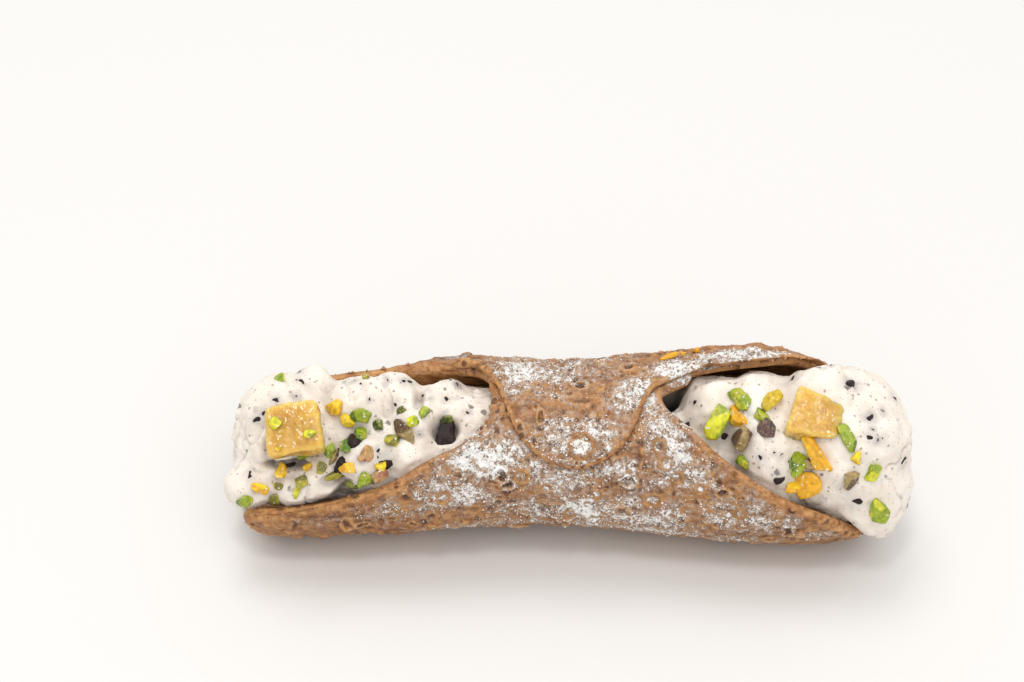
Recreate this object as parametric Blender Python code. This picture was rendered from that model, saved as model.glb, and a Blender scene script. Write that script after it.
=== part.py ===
# A filled cannolo that lies on its side: a fried pastry tube whose two mouths are scooped open,
# a cream filling that runs through it and swells out of both ends, and a block of candied orange
# on each end. X runs along the tube, the camera side is -Y, +Z is up, and the tube rests on two
# small flat spots under its flared ends.
#
# Round the tube an angle of 0 is the top, positive angles come down the front (-Y) side and 180
# is the bottom. Every surface is a radius from the tube's axis, given by position and angle.
import math

import bmesh
import bpy
import numpy as np
from mathutils import Matrix, Vector

# Driving dimensions, in metres. Angles are in degrees.
WAIST_RADIUS = 0.0173
LEFT_FLARE = 0.0204
RIGHT_FLARE = 0.0214
FLARE_REACH = 0.055
CURL_START = 0.058
TIP_CURL = 0.0030
TIP_REACH = 0.072
WALL = 0.0026
AXIS_HEIGHT = 0.0201
AXIS_TILT = 0.0091
CENTRE_X = 0.0044
CENTRE_Y = -0.00035

# Where the sheet's edge lies round each mouth: angle, distance from the middle of the tube.
LEFT_RIM = [
    (-180, 0.0710), (-140, 0.0695), (-112, 0.0640), (-90, 0.0570), (-80, 0.0510), (-77, 0.0415),
    (-60, 0.0310), (-40, 0.0230), (-20, 0.0165), (0, 0.0130), (24, 0.0135), (44, 0.0195),
    (54, 0.0260), (73, 0.0350), (99, 0.0640), (140, 0.0675), (170, 0.0710),
]
RIGHT_RIM = [
    (-180, 0.0710), (-150, 0.0705), (-120, 0.0680), (-90, 0.0645), (-59, 0.0620), (-26, 0.0610),
    (-18, 0.0585), (-14, 0.0400), (-10, 0.0340), (6, 0.0245), (18, 0.0255), (52, 0.0375),
    (77, 0.0500), (93, 0.0640), (110, 0.0690), (129, 0.0710), (155, 0.0715),
]
RIM_SOFTENING = 2.5

# The sheet's outer corner, which wraps over the top and ends as a rounded tongue in front.
FLAP_LIFT = 0.0022
LIFT_FADE = (0.036, 0.061)
FLAP_START = -42.0
FLAP_TIP = 59.0
FLAP_CENTRE = 0.0052
FLAP_HALF_WIDTH = 0.0155
FLAP_EDGE = 0.0011
FLAP_ROOT = 0.0008
FLAP_INSET = 0.0009

# Blisters raised by the frying oil.
BLISTER_SEED = 7
BLISTER_COUNT = 120
BLISTER_SIZE = (0.0026, 0.0056)
BLISTER_HEIGHT = (0.0003, 0.0010)
RIPPLE = 0.00025

# The cream keeps this gap to the wall, and swells only past the edge of the sheet.
GAP = 0.00050
RIM_MARGIN = 0.0013
SWELL_SLOPE = 2.6
CREAM_BLEND = 0.0011
CREAM_SPINE = (-0.058, 0.062)

# Lobes of piped cream: place along the tube, angle, distance of the centre from the axis,
# half-length along the tube, half-width across it.
CREAM_LOBES = [
    (-0.0590, 8, 0.0095, 0.0100, 0.0100), (-0.0610, 40, 0.0030, 0.0085, 0.0135),
    (-0.0530, -34, 0.0135, 0.0045, 0.0045), (-0.0420, -3, 0.0120, 0.0070, 0.0065),
    (-0.0290, 17, 0.0110, 0.0050, 0.0060), (-0.0170, 8, 0.0085, 0.0060, 0.0060),
    (-0.0660, 89, 0.0125, 0.0060, 0.0055), (-0.0555, 92, 0.0135, 0.0050, 0.0045),
    (-0.0505, 75, 0.0140, 0.0050, 0.0050), (-0.0410, 59, 0.0130, 0.0065, 0.0055),
    (-0.0310, 60, 0.0115, 0.0050, 0.0055), (-0.0600, -60, 0.0070, 0.0075, 0.0085),
    (-0.0450, -50, 0.0070, 0.0080, 0.0080),
    (0.0265, 17, 0.0105, 0.0030, 0.0030), (0.0340, -5, 0.0110, 0.0050, 0.0080),
    (0.0445, 6, 0.0100, 0.0065, 0.0100), (0.0490, 45, 0.0040, 0.0100, 0.0160),
    (0.0645, 20, 0.0045, 0.0155, 0.0175), (0.0670, 125, 0.0090, 0.0135, 0.0145),
]
CREAM_CORE = 0.0133
CREAM_FLOOR = 0.0012

# Blocks of candied orange: place along the tube, angle, distance from the axis, thickness, and
# the four corners of the broad side, measured from its middle.
ORANGE_BLOCKS = {
    "candied_orange_left": (-0.0555, 35, 0.0188, 0.0064, [
        (-0.0066, 0.0048), (0.0049, 0.0067), (0.0070, -0.0047), (-0.0055, -0.0067)]),
    "candied_orange_right": (0.0571, 26, 0.0200, 0.0062, [
        (-0.0037, 0.0074), (0.0066, 0.0022), (0.0047, -0.0056), (-0.0070, -0.0042)]),
}
BLOCK_BEVEL = 0.0012
BLOCK_CLEARANCE = 0.0003

# The larger pieces of chopped pistachio: place along the tube, angle, length, width, turn.
PISTACHIOS = [
    (-0.0475, 11, 0.0045, 0.0030, -10), (-0.0415, 20, 0.0050, 0.0030, -20),
    (-0.0450, 46, 0.0050, 0.0025, -45), (-0.0480, 50, 0.0045, 0.0025, 70),
    (-0.0340, 41, 0.0040, 0.0025, -5), (-0.0315, 33, 0.0060, 0.0030, -35),
    (-0.0465, 68, 0.0050, 0.0025, 10), (-0.0400, 69, 0.0045, 0.0025, 75),
    (0.0365, 21, 0.0090, 0.0045, 75), (0.0410, 24, 0.0050, 0.0035, -55),
    (0.0430, 13, 0.0065, 0.0030, -40), (0.0480, 14, 0.0045, 0.0035, 15),
    (0.0475, 35, 0.0045, 0.0035, -30), (0.0430, 38, 0.0050, 0.0040, 45),
    (0.0580, 50, 0.0085, 0.0035, -60), (0.0535, 56, 0.0055, 0.0030, 60),
    (0.0570, 71, 0.0055, 0.0045, 20), (0.0645, 40, 0.0060, 0.0025, -60),
    (0.0645, 63, 0.0045, 0.0030, 60), (0.0720, 86, 0.0050, 0.0040, 75),
]
PISTACHIO_SINK = 0.35
PISTACHIO_SEED = 100
PISTACHIO_UNEVEN = (0.85, 1.1)

# How finely each surface is cut.
AROUND = 60
SHELL_ROWS = 25
LINING_ROWS = 19
CREAM_ROWS = 30
CREAM_CAP_ROWS = 7
FLAP_ROWS = 14
FLAP_COLUMNS = 13

COLOURS = {
    "shell": ((0.46, 0.24, 0.11), 0.55),
    "cream": ((0.86, 0.81, 0.74), 0.45),
    "candied_orange": ((0.88, 0.58, 0.20), 0.22),
}


def smoothstep(low, high, value):
    share = np.clip((value - low) / (high - low), 0.0, 1.0)
    return share * share * (3.0 - 2.0 * share)


def rim_distance(knots, angle):
    """The sheet's reach at an angle: straight between the knots, softened by a bell curve."""
    fine = np.arange(-180.0, 180.0, 0.5)
    reach = np.interp(fine, [k[0] for k in knots], [k[1] for k in knots], period=360)
    offset = np.arange(-30, 31) * 0.5
    bell = np.exp(-0.5 * (offset / RIM_SOFTENING) ** 2)
    padded = np.concatenate([reach[-30:], reach, reach[:30]])
    soft = np.convolve(padded, bell / bell.sum(), mode="valid")
    return np.interp(angle, fine, soft, period=360)


def wall_radius(x):
    """Outer radius of the plain tube: narrow at the waist, flared at the mouths, curled at the tips."""
    flare = np.where(x < 0, LEFT_FLARE, RIGHT_FLARE)
    opened = smoothstep(0.0, FLARE_REACH, np.abs(x))
    curl = np.clip((np.abs(x) - CURL_START) / (TIP_REACH - CURL_START), 0.0, 1.2)
    return WAIST_RADIUS + (flare - WAIST_RADIUS) * opened - TIP_CURL * curl ** 2


def blister_table():
    """Place, angle, size and height of each blister, drawn from a fixed seed."""
    draw = np.random.default_rng(BLISTER_SEED)
    place = draw.uniform(-TIP_REACH, TIP_REACH, BLISTER_COUNT)
    angle = draw.uniform(-180.0, 180.0, BLISTER_COUNT)
    share = draw.uniform(0.0, 1.0, BLISTER_COUNT) ** 1.6
    size = BLISTER_SIZE[0] + (BLISTER_SIZE[1] - BLISTER_SIZE[0]) * share
    height = draw.uniform(*BLISTER_HEIGHT, BLISTER_COUNT)
    return np.stack([place, angle, size, height], axis=1)


BLISTERS = blister_table()


def blister_relief(x, angle):
    """Height of the blisters at a point: each is a dome that fades to nothing at its edge."""
    relief = np.zeros(np.broadcast(x, angle).shape)
    for place, turn, size, height in BLISTERS:
        around = (angle - turn + 180.0) % 360.0 - 180.0
        along = x - place
        gap = (along ** 2 + (np.radians(around) * WAIST_RADIUS) ** 2) / size ** 2
        relief = relief + height * np.clip(1.0 - gap, 0.0, 1.0) ** 2
    return relief


def lift_at(x):
    """Height of the outer layer over the plain tube: full in the middle, none near the tips."""
    return FLAP_LIFT * (1.0 - smoothstep(*LIFT_FADE, np.abs(x)))


def layer_lift(x, angle):
    """How far the hidden inner corner of the sheet lifts the tube's surface on the back side."""
    return lift_at(x) * smoothstep(-92.0, -56.0, angle) * (1.0 - smoothstep(-34.0, -8.0, angle))


def outer_radius(x, angle):
    calm = 1.0 - smoothstep(145.0, 163.0, np.abs(angle))
    ripple = RIPPLE * np.sin(np.radians(3.0 * angle) + 60.0 * x)
    return wall_radius(x) + (blister_relief(x, angle) + ripple) * calm


def edge_round(distance, radius):
    """Share of the full thickness at a distance from a rounded edge."""
    inward = np.clip(1.0 - distance / radius, 0.0, 1.0)
    return np.sqrt(1.0 - inward ** 2)


def to_space(x, angle, radius):
    """Points from place along the tube, angle round it and radius from its axis."""
    turn = np.radians(angle)
    y = -radius * np.sin(turn)
    z = AXIS_HEIGHT + AXIS_TILT * x + radius * np.cos(turn)
    return np.stack(np.broadcast_arrays(x - CENTRE_X, y - CENTRE_Y, z), axis=-1)


def rounded_rows(count, reach):
    """Distances across a sheet from edge to edge, crowded at both edges so they can be round."""
    near = np.array([0.0, 0.00025, 0.0008, 0.0018, 0.0060])
    middle = np.linspace(0.0, 1.0, count - 2 * len(near) + 2)[1:-1]
    inner = near[-1] + (reach - 2 * near[-1])[..., None] * middle
    start = np.broadcast_to(near, reach.shape + near.shape)
    return np.concatenate([start, inner, reach[..., None] - start[..., ::-1]], axis=-1)


def mesh_object(name, points, faces, colour):
    mesh = bpy.data.meshes.new(name)
    mesh.from_pydata([tuple(p) for p in points], [], [tuple(map(int, f)) for f in faces])
    mesh.update()
    made = bpy.data.objects.new(name, mesh)
    bpy.context.collection.objects.link(made)
    mesh.materials.append(finish(colour))
    face_outwards(mesh)
    mesh.shade_smooth()
    return made


def face_outwards(mesh):
    work = bmesh.new()
    work.from_mesh(mesh)
    bmesh.ops.remove_doubles(work, verts=work.verts, dist=1e-6)
    bmesh.ops.recalc_face_normals(work, faces=work.faces)
    bmesh.ops.triangulate(work, faces=work.faces)
    work.to_mesh(mesh)
    work.free()


def finish(name):
    """The material of a sub-part, made once."""
    made = bpy.data.materials.get(name)
    if made is None:
        colour, roughness = COLOURS[name]
        made = bpy.data.materials.new(name)
        made.use_nodes = True
        shader = made.node_tree.nodes["Principled BSDF"]
        shader.inputs["Base Color"].default_value = (*colour, 1.0)
        shader.inputs["Roughness"].default_value = roughness
        shader.inputs["Metallic"].default_value = 0.0
    return made


def grid_faces(rows, columns, wrap, first=0):
    """Quads over a grid of points numbered row by row; wrap joins its last row to its first."""
    row = np.arange(rows if wrap else rows - 1)
    column = np.arange(columns - 1)
    a = first + row[:, None] * columns + column
    b = first + ((row[:, None] + 1) % rows) * columns + column
    return np.stack([a, b, b + 1, a + 1], axis=-1).reshape(-1, 4)


def apply_boolean(target, operation, helpers, solver="EXACT"):
    """Cuts or joins the helper objects into the target for good, then removes them."""
    group = bpy.data.collections.new(operation + "_with_" + target.name)
    bpy.context.scene.collection.children.link(group)
    for helper in helpers:
        for holder in list(helper.users_collection):
            holder.objects.unlink(helper)
        group.objects.link(helper)
    step = target.modifiers.new(operation, "BOOLEAN")
    step.operation = operation
    step.operand_type = "COLLECTION"
    step.collection = group
    step.solver = solver
    view = bpy.context.evaluated_depsgraph_get()
    solved = bpy.data.meshes.new_from_object(target.evaluated_get(view))
    target.modifiers.clear()
    target.data = solved
    for helper in helpers:
        bpy.data.objects.remove(helper)
    bpy.data.collections.remove(group)


def make_tube():
    """The tube's wall: an outer skin and a lining that meet at the rounded rim of each mouth."""
    angle = np.arange(AROUND) * 360.0 / AROUND - 180.0
    left = -rim_distance(LEFT_RIM, angle)
    reach = rim_distance(RIGHT_RIM, angle) - left
    outer_x = left[:, None] + rounded_rows(SHELL_ROWS, reach)
    inner_x = left[:, None] + rounded_rows(LINING_ROWS, reach)
    turn = angle[:, None]

    def half_wall(x):
        to_edge = np.minimum(x - left[:, None], left[:, None] + reach[:, None] - x)
        return 0.5 * WALL * edge_round(to_edge, 0.5 * WALL), to_edge

    half, to_edge = half_wall(outer_x)
    fade = smoothstep(0.0, 0.004, to_edge)
    relief = outer_radius(outer_x, turn) - wall_radius(outer_x)
    skin = wall_radius(outer_x) - 0.5 * WALL + half + (relief + layer_lift(outer_x, turn)) * fade
    outside = to_space(outer_x, turn, skin)
    outside[..., 2] = np.maximum(outside[..., 2], 0.0)
    lining = wall_radius(inner_x) - 0.5 * WALL - half_wall(inner_x)[0]
    inside = to_space(inner_x, turn, lining)
    inside[:, 0], inside[:, -1] = outside[:, 0], outside[:, -1]
    points = np.concatenate([outside.reshape(-1, 3), inside.reshape(-1, 3)])
    faces = np.concatenate([
        grid_faces(AROUND, SHELL_ROWS, True),
        grid_faces(AROUND, LINING_ROWS, True, AROUND * SHELL_ROWS)[:, ::-1],
    ])
    return mesh_object("shell", points, faces, "shell")


def flap_edges(angle):
    """Left and right outline of the outer corner: a half ellipse that flares out to the rims."""
    over = np.clip(angle / FLAP_TIP, 0.0, 1.0)
    half = FLAP_HALF_WIDTH * np.sqrt(1.0 - over ** 2)
    flare = 1.0 - smoothstep(-4.0, 20.0, angle)
    left = FLAP_CENTRE - half
    right = FLAP_CENTRE + half
    left_rim = -rim_distance(LEFT_RIM, angle) + FLAP_INSET
    right_rim = rim_distance(RIGHT_RIM, angle) - FLAP_INSET
    return left + (left_rim - left) * flare, right + (right_rim - right) * flare


def make_flap():
    """A slab for the outer corner, rooted in the wall so that the two join."""
    share = np.sin(np.linspace(0.0, 0.5 * math.pi, FLAP_ROWS))
    angle = FLAP_START + (FLAP_TIP - 0.4 - FLAP_START) * share
    left, right = flap_edges(angle)
    middle = 0.5 * (left + right)
    half = np.maximum(0.5 * (right - left), 0.0009)
    across = np.sin(np.linspace(-0.5 * math.pi, 0.5 * math.pi, FLAP_COLUMNS))
    x = middle[:, None] + half[:, None] * across
    turn = np.broadcast_to(angle[:, None], x.shape)
    to_side = half[:, None] * (1.0 - np.abs(across))
    to_tip = np.radians(FLAP_TIP - turn) * wall_radius(x)
    rise = edge_round(np.minimum(to_side, to_tip), FLAP_EDGE)
    buried = 0.0011 * (1.0 - smoothstep(FLAP_START, FLAP_START + 14.0, turn))
    top = to_space(x, turn, outer_radius(x, turn) + lift_at(x) * rise - buried)
    under = to_space(x, turn, wall_radius(x) - FLAP_ROOT)
    count = FLAP_ROWS * FLAP_COLUMNS
    points = np.concatenate([top.reshape(-1, 3), under.reshape(-1, 3)])
    ring = np.concatenate([
        np.arange(FLAP_COLUMNS),
        np.arange(1, FLAP_ROWS) * FLAP_COLUMNS + FLAP_COLUMNS - 1,
        count - 1 - np.arange(1, FLAP_COLUMNS),
        np.arange(FLAP_ROWS - 2, 0, -1) * FLAP_COLUMNS,
    ])
    after = np.roll(ring, -1)
    wall = np.stack([ring, after, after + count, ring + count], axis=-1)
    top_faces = grid_faces(FLAP_ROWS, FLAP_COLUMNS, False)
    under_faces = grid_faces(FLAP_ROWS, FLAP_COLUMNS, False, count)[:, ::-1]
    return mesh_object("flap", points, np.concatenate([top_faces, under_faces, wall]), "shell")


def cream_room(x, angle):
    """Largest radius the cream may have: inside the lining, and free past the edge of the sheet."""
    left = -rim_distance(LEFT_RIM, angle)
    right = rim_distance(RIGHT_RIM, angle)
    past = np.maximum(left - x, x - right)
    step = 1.0
    steep = np.abs(np.where(
        x < 0,
        rim_distance(LEFT_RIM, angle + step) - rim_distance(LEFT_RIM, angle - step),
        rim_distance(RIGHT_RIM, angle + step) - rim_distance(RIGHT_RIM, angle - step),
    )) / (2.0 * math.radians(step) * WAIST_RADIUS)
    past = past / np.sqrt(1.0 + steep ** 2)
    inside = wall_radius(x) - WALL - GAP
    return inside + SWELL_SLOPE * np.maximum(past - RIM_MARGIN, 0.0)


def cream_reach(origin, direction):
    """Distance from points on the axis to the cream's surface: a soft greatest of its lobes."""
    reaches = []
    for place, angle, offset, along, across in CREAM_LOBES:
        turn = math.radians(angle)
        centre = np.array([place, -offset * math.sin(turn), offset * math.cos(turn)])
        size = np.array([along, across, across])
        a = direction / size
        b = (origin - centre) / size
        aa, ab, bb = (a * a).sum(-1), (a * b).sum(-1), (b * b).sum(-1)
        inside = ab ** 2 - aa * (bb - 1.0)
        far = (-ab + np.sqrt(np.maximum(inside, 0.0))) / aa
        reaches.append(np.where(inside > 0.0, np.maximum(far, 0.0), 0.0))
    reaches.append(np.full(reaches[0].shape, CREAM_CORE))
    stack = np.stack(reaches)
    top = stack.max(axis=0)
    return top + CREAM_BLEND * np.log(np.exp((stack - top) / CREAM_BLEND).sum(axis=0))


def cream_surface(rows, cap_rows, around):
    """Points of the cream on rays from its spine: square to it along the tube, fanned out at the ends."""
    angle = np.arange(around) * 360.0 / around - 180.0
    left, right = CREAM_SPINE
    along = np.linspace(left, right, rows)
    fan = np.linspace(0.0, 0.5 * math.pi, cap_rows + 1)[:-1]
    spine = np.concatenate([np.full(cap_rows, left), along, np.full(cap_rows, right)])
    lean = np.concatenate([-0.5 * math.pi + fan, np.zeros(rows), 0.5 * math.pi - fan[::-1]])
    turn = np.radians(angle)
    direction = np.stack([
        np.broadcast_to(np.sin(lean)[:, None], (len(lean), around)),
        -np.cos(lean)[:, None] * np.sin(turn),
        np.cos(lean)[:, None] * np.cos(turn),
    ], axis=-1)
    origin = np.zeros_like(direction)
    origin[..., 0] = spine[:, None]
    reach = cream_reach(origin, direction)
    for _ in range(3):
        x = spine[:, None] + reach * np.sin(lean)[:, None]
        radius = reach * np.cos(lean)[:, None]
        room = cream_room(x, np.broadcast_to(angle, x.shape))
        reach = reach * np.where(radius > room, room / np.maximum(radius, 1e-9), 1.0)
    x = spine[:, None] + reach * np.sin(lean)[:, None]
    radius = reach * np.cos(lean)[:, None]
    return to_space(x, np.broadcast_to(angle, x.shape), radius)


def make_cream():
    surface = cream_surface(CREAM_ROWS, CREAM_CAP_ROWS, AROUND)
    surface[..., 2] = np.maximum(surface[..., 2], CREAM_FLOOR)
    rows = surface.shape[0]
    points = surface[1:-1].reshape(-1, 3)
    ends = np.array([surface[0].mean(axis=0), surface[-1].mean(axis=0)])
    faces = []
    for row in range(rows - 3):
        for column in range(AROUND):
            after = (column + 1) % AROUND
            faces.append((row * AROUND + column, row * AROUND + after,
                          (row + 1) * AROUND + after, (row + 1) * AROUND + column))
    last = (rows - 3) * AROUND
    tip = len(points)
    for column in range(AROUND):
        after = (column + 1) % AROUND
        faces.append((tip, after, column))
        faces.append((tip + 1, last + column, last + after))
    return mesh_object("cream", np.concatenate([points, ends]), faces, "cream")


def place_on_cream(x, angle, distance, turn):
    """A frame that sits at a distance from the axis, its Z pointing outwards."""
    lean = math.radians(angle)
    spot = Vector(to_space(x, angle, distance))
    tilt = Matrix.Rotation(lean, 4, "X")
    spin = Matrix.Rotation(math.radians(turn), 4, "Z")
    return Matrix.Translation(spot) @ tilt @ spin


def make_block(name, thickness, corners, grow, frame):
    """A block with four uneven corners and rounded edges."""
    mesh = bpy.data.meshes.new(name)
    work = bmesh.new()
    bmesh.ops.create_cube(work, size=1.0)
    for vertex in work.verts:
        right, back = vertex.co.x > 0, vertex.co.y > 0
        u, v = corners[(1 if right else 0) if back else (2 if right else 3)]
        vertex.co = Vector((
            u + math.copysign(grow, u),
            v + math.copysign(grow, v),
            vertex.co.z * (thickness + 2.0 * grow),
        ))
    bmesh.ops.bevel(work, geom=work.edges[:], offset=BLOCK_BEVEL + grow, segments=2,
                    affect="EDGES", profile=0.5)
    bmesh.ops.transform(work, matrix=frame, verts=work.verts)
    work.to_mesh(mesh)
    work.free()
    made = bpy.data.objects.new(name, mesh)
    bpy.context.collection.objects.link(made)
    mesh.materials.append(finish("candied_orange"))
    face_outwards(mesh)
    mesh.shade_smooth()
    return made


def cream_radius_at(x, angle):
    """The cream's radius at one place, from a ray square to the axis."""
    turn = math.radians(angle)
    direction = np.array([[0.0, -math.sin(turn), math.cos(turn)]])
    origin = np.array([[x, 0.0, 0.0]])
    reach = cream_reach(origin, direction)[0]
    return float(min(reach, cream_room(np.array([x]), np.array([float(angle)]))[0]))


def make_pistachio(index, x, angle, length, width, turn):
    """A chopped nut: a small faceted lump, part sunk in the cream."""
    draw = np.random.default_rng(PISTACHIO_SEED + index)
    rim = rim_distance(LEFT_RIM if x < 0 else RIGHT_RIM, float(angle))
    x = math.copysign(max(abs(x), float(rim) + 0.5 * length + RIM_MARGIN), x)
    frame = place_on_cream(x, angle, cream_radius_at(x, angle) + (0.5 - PISTACHIO_SINK) * width, turn)
    mesh = bpy.data.meshes.new("pistachio")
    work = bmesh.new()
    bmesh.ops.create_icosphere(work, subdivisions=1, radius=0.5)
    for vertex in work.verts:
        uneven = draw.uniform(*PISTACHIO_UNEVEN)
        vertex.co = Vector((
            vertex.co.x * length * uneven,
            vertex.co.y * width * uneven,
            vertex.co.z * width * 0.8,
        ))
    bmesh.ops.transform(work, matrix=frame, verts=work.verts)
    work.to_mesh(mesh)
    work.free()
    made = bpy.data.objects.new("pistachio", mesh)
    bpy.context.collection.objects.link(made)
    face_outwards(mesh)
    return made


def main():
    for old in list(bpy.data.objects):
        bpy.data.objects.remove(old)
    shell = make_tube()
    # The exact solver returns nothing for these two thin sheets.
    apply_boolean(shell, "UNION", [make_flap()], "MANIFOLD")
    cream = make_cream()
    nuts = [make_pistachio(i, *row) for i, row in enumerate(PISTACHIOS)]
    apply_boolean(cream, "UNION", nuts)
    recesses = []
    for name, (x, angle, distance, thickness, corners) in ORANGE_BLOCKS.items():
        frame = place_on_cream(x, angle, distance, 0.0)
        make_block(name, thickness, corners, 0.0, frame)
        recesses.append(make_block(name + "_recess", thickness, corners, BLOCK_CLEARANCE, frame))
    apply_boolean(cream, "DIFFERENCE", recesses)


main()
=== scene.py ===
# The looks of a filled cannolo that lies on its side, built round its solids.
# Lengths are in metres. Round the tube an angle of 0 is the top, positive angles come down the
# front (-Y) side, and a surface is a radius from the tube's axis at a place and an angle.
import itertools
import math

import bmesh
import bpy
import numpy as np
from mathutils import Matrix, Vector
from mathutils.bvhtree import BVHTree


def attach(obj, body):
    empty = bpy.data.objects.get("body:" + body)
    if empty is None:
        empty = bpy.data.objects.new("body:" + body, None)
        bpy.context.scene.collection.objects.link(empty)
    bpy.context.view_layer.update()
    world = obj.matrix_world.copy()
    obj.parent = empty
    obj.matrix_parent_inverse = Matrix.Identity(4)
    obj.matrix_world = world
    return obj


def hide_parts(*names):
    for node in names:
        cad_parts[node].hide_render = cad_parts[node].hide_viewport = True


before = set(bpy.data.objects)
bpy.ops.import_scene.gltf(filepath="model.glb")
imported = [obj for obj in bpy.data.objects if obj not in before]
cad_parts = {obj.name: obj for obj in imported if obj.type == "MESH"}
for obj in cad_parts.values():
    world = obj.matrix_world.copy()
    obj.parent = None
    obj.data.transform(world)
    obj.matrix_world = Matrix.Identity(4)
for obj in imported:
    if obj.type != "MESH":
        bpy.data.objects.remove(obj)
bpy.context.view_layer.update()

tube = {
    "waist": 0.0173, "leftFlare": 0.0204, "rightFlare": 0.0214, "flareReach": 0.055,
    "curlStart": 0.058, "tipCurl": 0.0030, "tipReach": 0.072, "wall": 0.0026,
    "axisHeight": 0.0201, "axisTilt": 0.0091, "centreX": 0.0044, "centreY": -0.00035,
    "meanRadius": 0.019, "rimSoftening": 2.5, "droop": 0.0032, "droopReach": (0.050, 0.068),
    "tuck": 9.0,  # degrees by which the layer under the outer corner hides behind its edge
    # where the sheet's edge lies round each mouth: angle, distance from the tube's middle
    "leftRim": [
        (-180, 0.0710), (-140, 0.0695), (-112, 0.0640), (-90, 0.0570), (-80, 0.0510), (-77, 0.0415),
        (-60, 0.0310), (-40, 0.0230), (-20, 0.0165), (0, 0.0130), (24, 0.0135), (44, 0.0195),
        (54, 0.0260), (73, 0.0350), (84, 0.0455), (92, 0.0550), (97, 0.0655), (106, 0.0682),
        (122, 0.0670), (138, 0.0640), (156, 0.0665), (174, 0.0710),
    ],
    "rightRim": [
        (-180, 0.0710), (-150, 0.0705), (-120, 0.0680), (-90, 0.0650), (-59, 0.0638), (-32, 0.0628),
        (-25, 0.0575), (-17, 0.0500), (-14, 0.0400), (-10, 0.0340), (6, 0.0245), (18, 0.0255), (52, 0.0375),
        (77, 0.0500), (94, 0.0620), (104, 0.0652), (112, 0.0670), (126, 0.0705), (155, 0.0715),
    ],
}
flap = {
    "lift": 0.0022, "liftFade": (0.036, 0.061), "start": -42.0, "tip": 59.0, "centre": 0.0052,
    "halfWidth": 0.0155, "inset": 0.0009, "half": 0.00105,
    # a ring blister on it: place, angle, radius, height of the ring, depth of its middle
    "ring": (0.0066, 45.0, 0.0027, 0.00026, 0.00030),
    "rows": 230, "columns": 190, "gap": 0.00018,
}
largeBlisters = {"seed": 7, "count": 120, "size": (0.0026, 0.0056), "height": (0.0003, 0.0010)}


def smoothStep(low, high, value):
    share = np.clip((value - low) / (high - low), 0.0, 1.0)
    return share * share * (3.0 - 2.0 * share)


# smooth random values between -1 and 1 over space: lattice values blended between cell corners
def latticeNoise(points, size, seed):
    table = np.random.default_rng(seed).uniform(-1.0, 1.0, 4096)
    scaled = points / size
    cell = np.floor(scaled).astype(np.int64)
    part = scaled - cell
    part = part * part * (3.0 - 2.0 * part)
    total = np.zeros(points.shape[:-1])
    for corner in itertools.product((0, 1), repeat=3):
        at = cell + np.array(corner)
        index = (at[..., 0] * 73856093) ^ (at[..., 1] * 19349663) ^ (at[..., 2] * 83492791)
        weight = np.prod(np.where(np.array(corner) == 1, part, 1.0 - part), axis=-1)
        total += weight * table[index & 4095]
    return total


def roughNoise(points, size, seed, octaves=4, keep=0.5):
    total = sum(keep ** k * latticeNoise(points, size * 0.5 ** k, seed + k) for k in range(octaves))
    return total / sum(keep ** k for k in range(octaves))


# the sheet's reach at an angle: straight between the knots, softened by a bell curve
def rimDistance(side, angle):
    knots = tube[side]
    fine = np.arange(-180.0, 180.0, 0.5)
    reach = np.interp(fine, [k[0] for k in knots], [k[1] for k in knots], period=360)
    bell = np.exp(-0.5 * (np.arange(-30, 31) * 0.5 / tube["rimSoftening"]) ** 2)
    padded = np.concatenate([reach[-30:], reach, reach[:30]])
    soft = np.convolve(padded, bell / bell.sum(), mode="valid")
    return np.interp(angle, fine, soft, period=360)


# radius = waist + (flare - waist) * smooth rise along x - curl at the tips - droop at the far right
def wallRadius(x, angle):
    flare = np.where(x < 0, tube["leftFlare"], tube["rightFlare"])
    opened = smoothStep(0.0, tube["flareReach"], np.abs(x))
    curl = np.clip((np.abs(x) - tube["curlStart"]) / (tube["tipReach"] - tube["curlStart"]), 0.0, 1.2)
    bowed = smoothStep(-120.0, -70.0, angle) * (1.0 - smoothStep(-12.0, 15.0, angle))
    drop = tube["droop"] * smoothStep(*tube["droopReach"], x) * bowed
    return tube["waist"] + (flare - tube["waist"]) * opened - tube["tipCurl"] * curl ** 2 - drop


def toSpace(x, angle, radius):
    turn = np.radians(angle)
    y = -radius * np.sin(turn) - tube["centreY"]
    z = tube["axisHeight"] + tube["axisTilt"] * x + radius * np.cos(turn)
    return np.stack(np.broadcast_arrays(x - tube["centreX"], y, z), axis=-1)


# share of the full thickness at a distance from a rounded edge: a quarter circle
def edgeRound(distance, radius):
    inward = np.clip(1.0 - distance / radius, 0.0, 1.0)
    return np.sqrt(1.0 - inward ** 2)


# distance of points on the unrolled sheet from an outline drawn on it, one grid row at a time
def outlineDistance(x, angle, lineX, lineAngle):
    around = np.radians(angle) * tube["meanRadius"]
    lineAround = np.radians(lineAngle) * tube["meanRadius"]
    return np.stack([
        np.sqrt(((rowX[:, None] - lineX) ** 2 + (rowS[:, None] - lineAround) ** 2).min(axis=1))
        for rowX, rowS in zip(x, around)])


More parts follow.
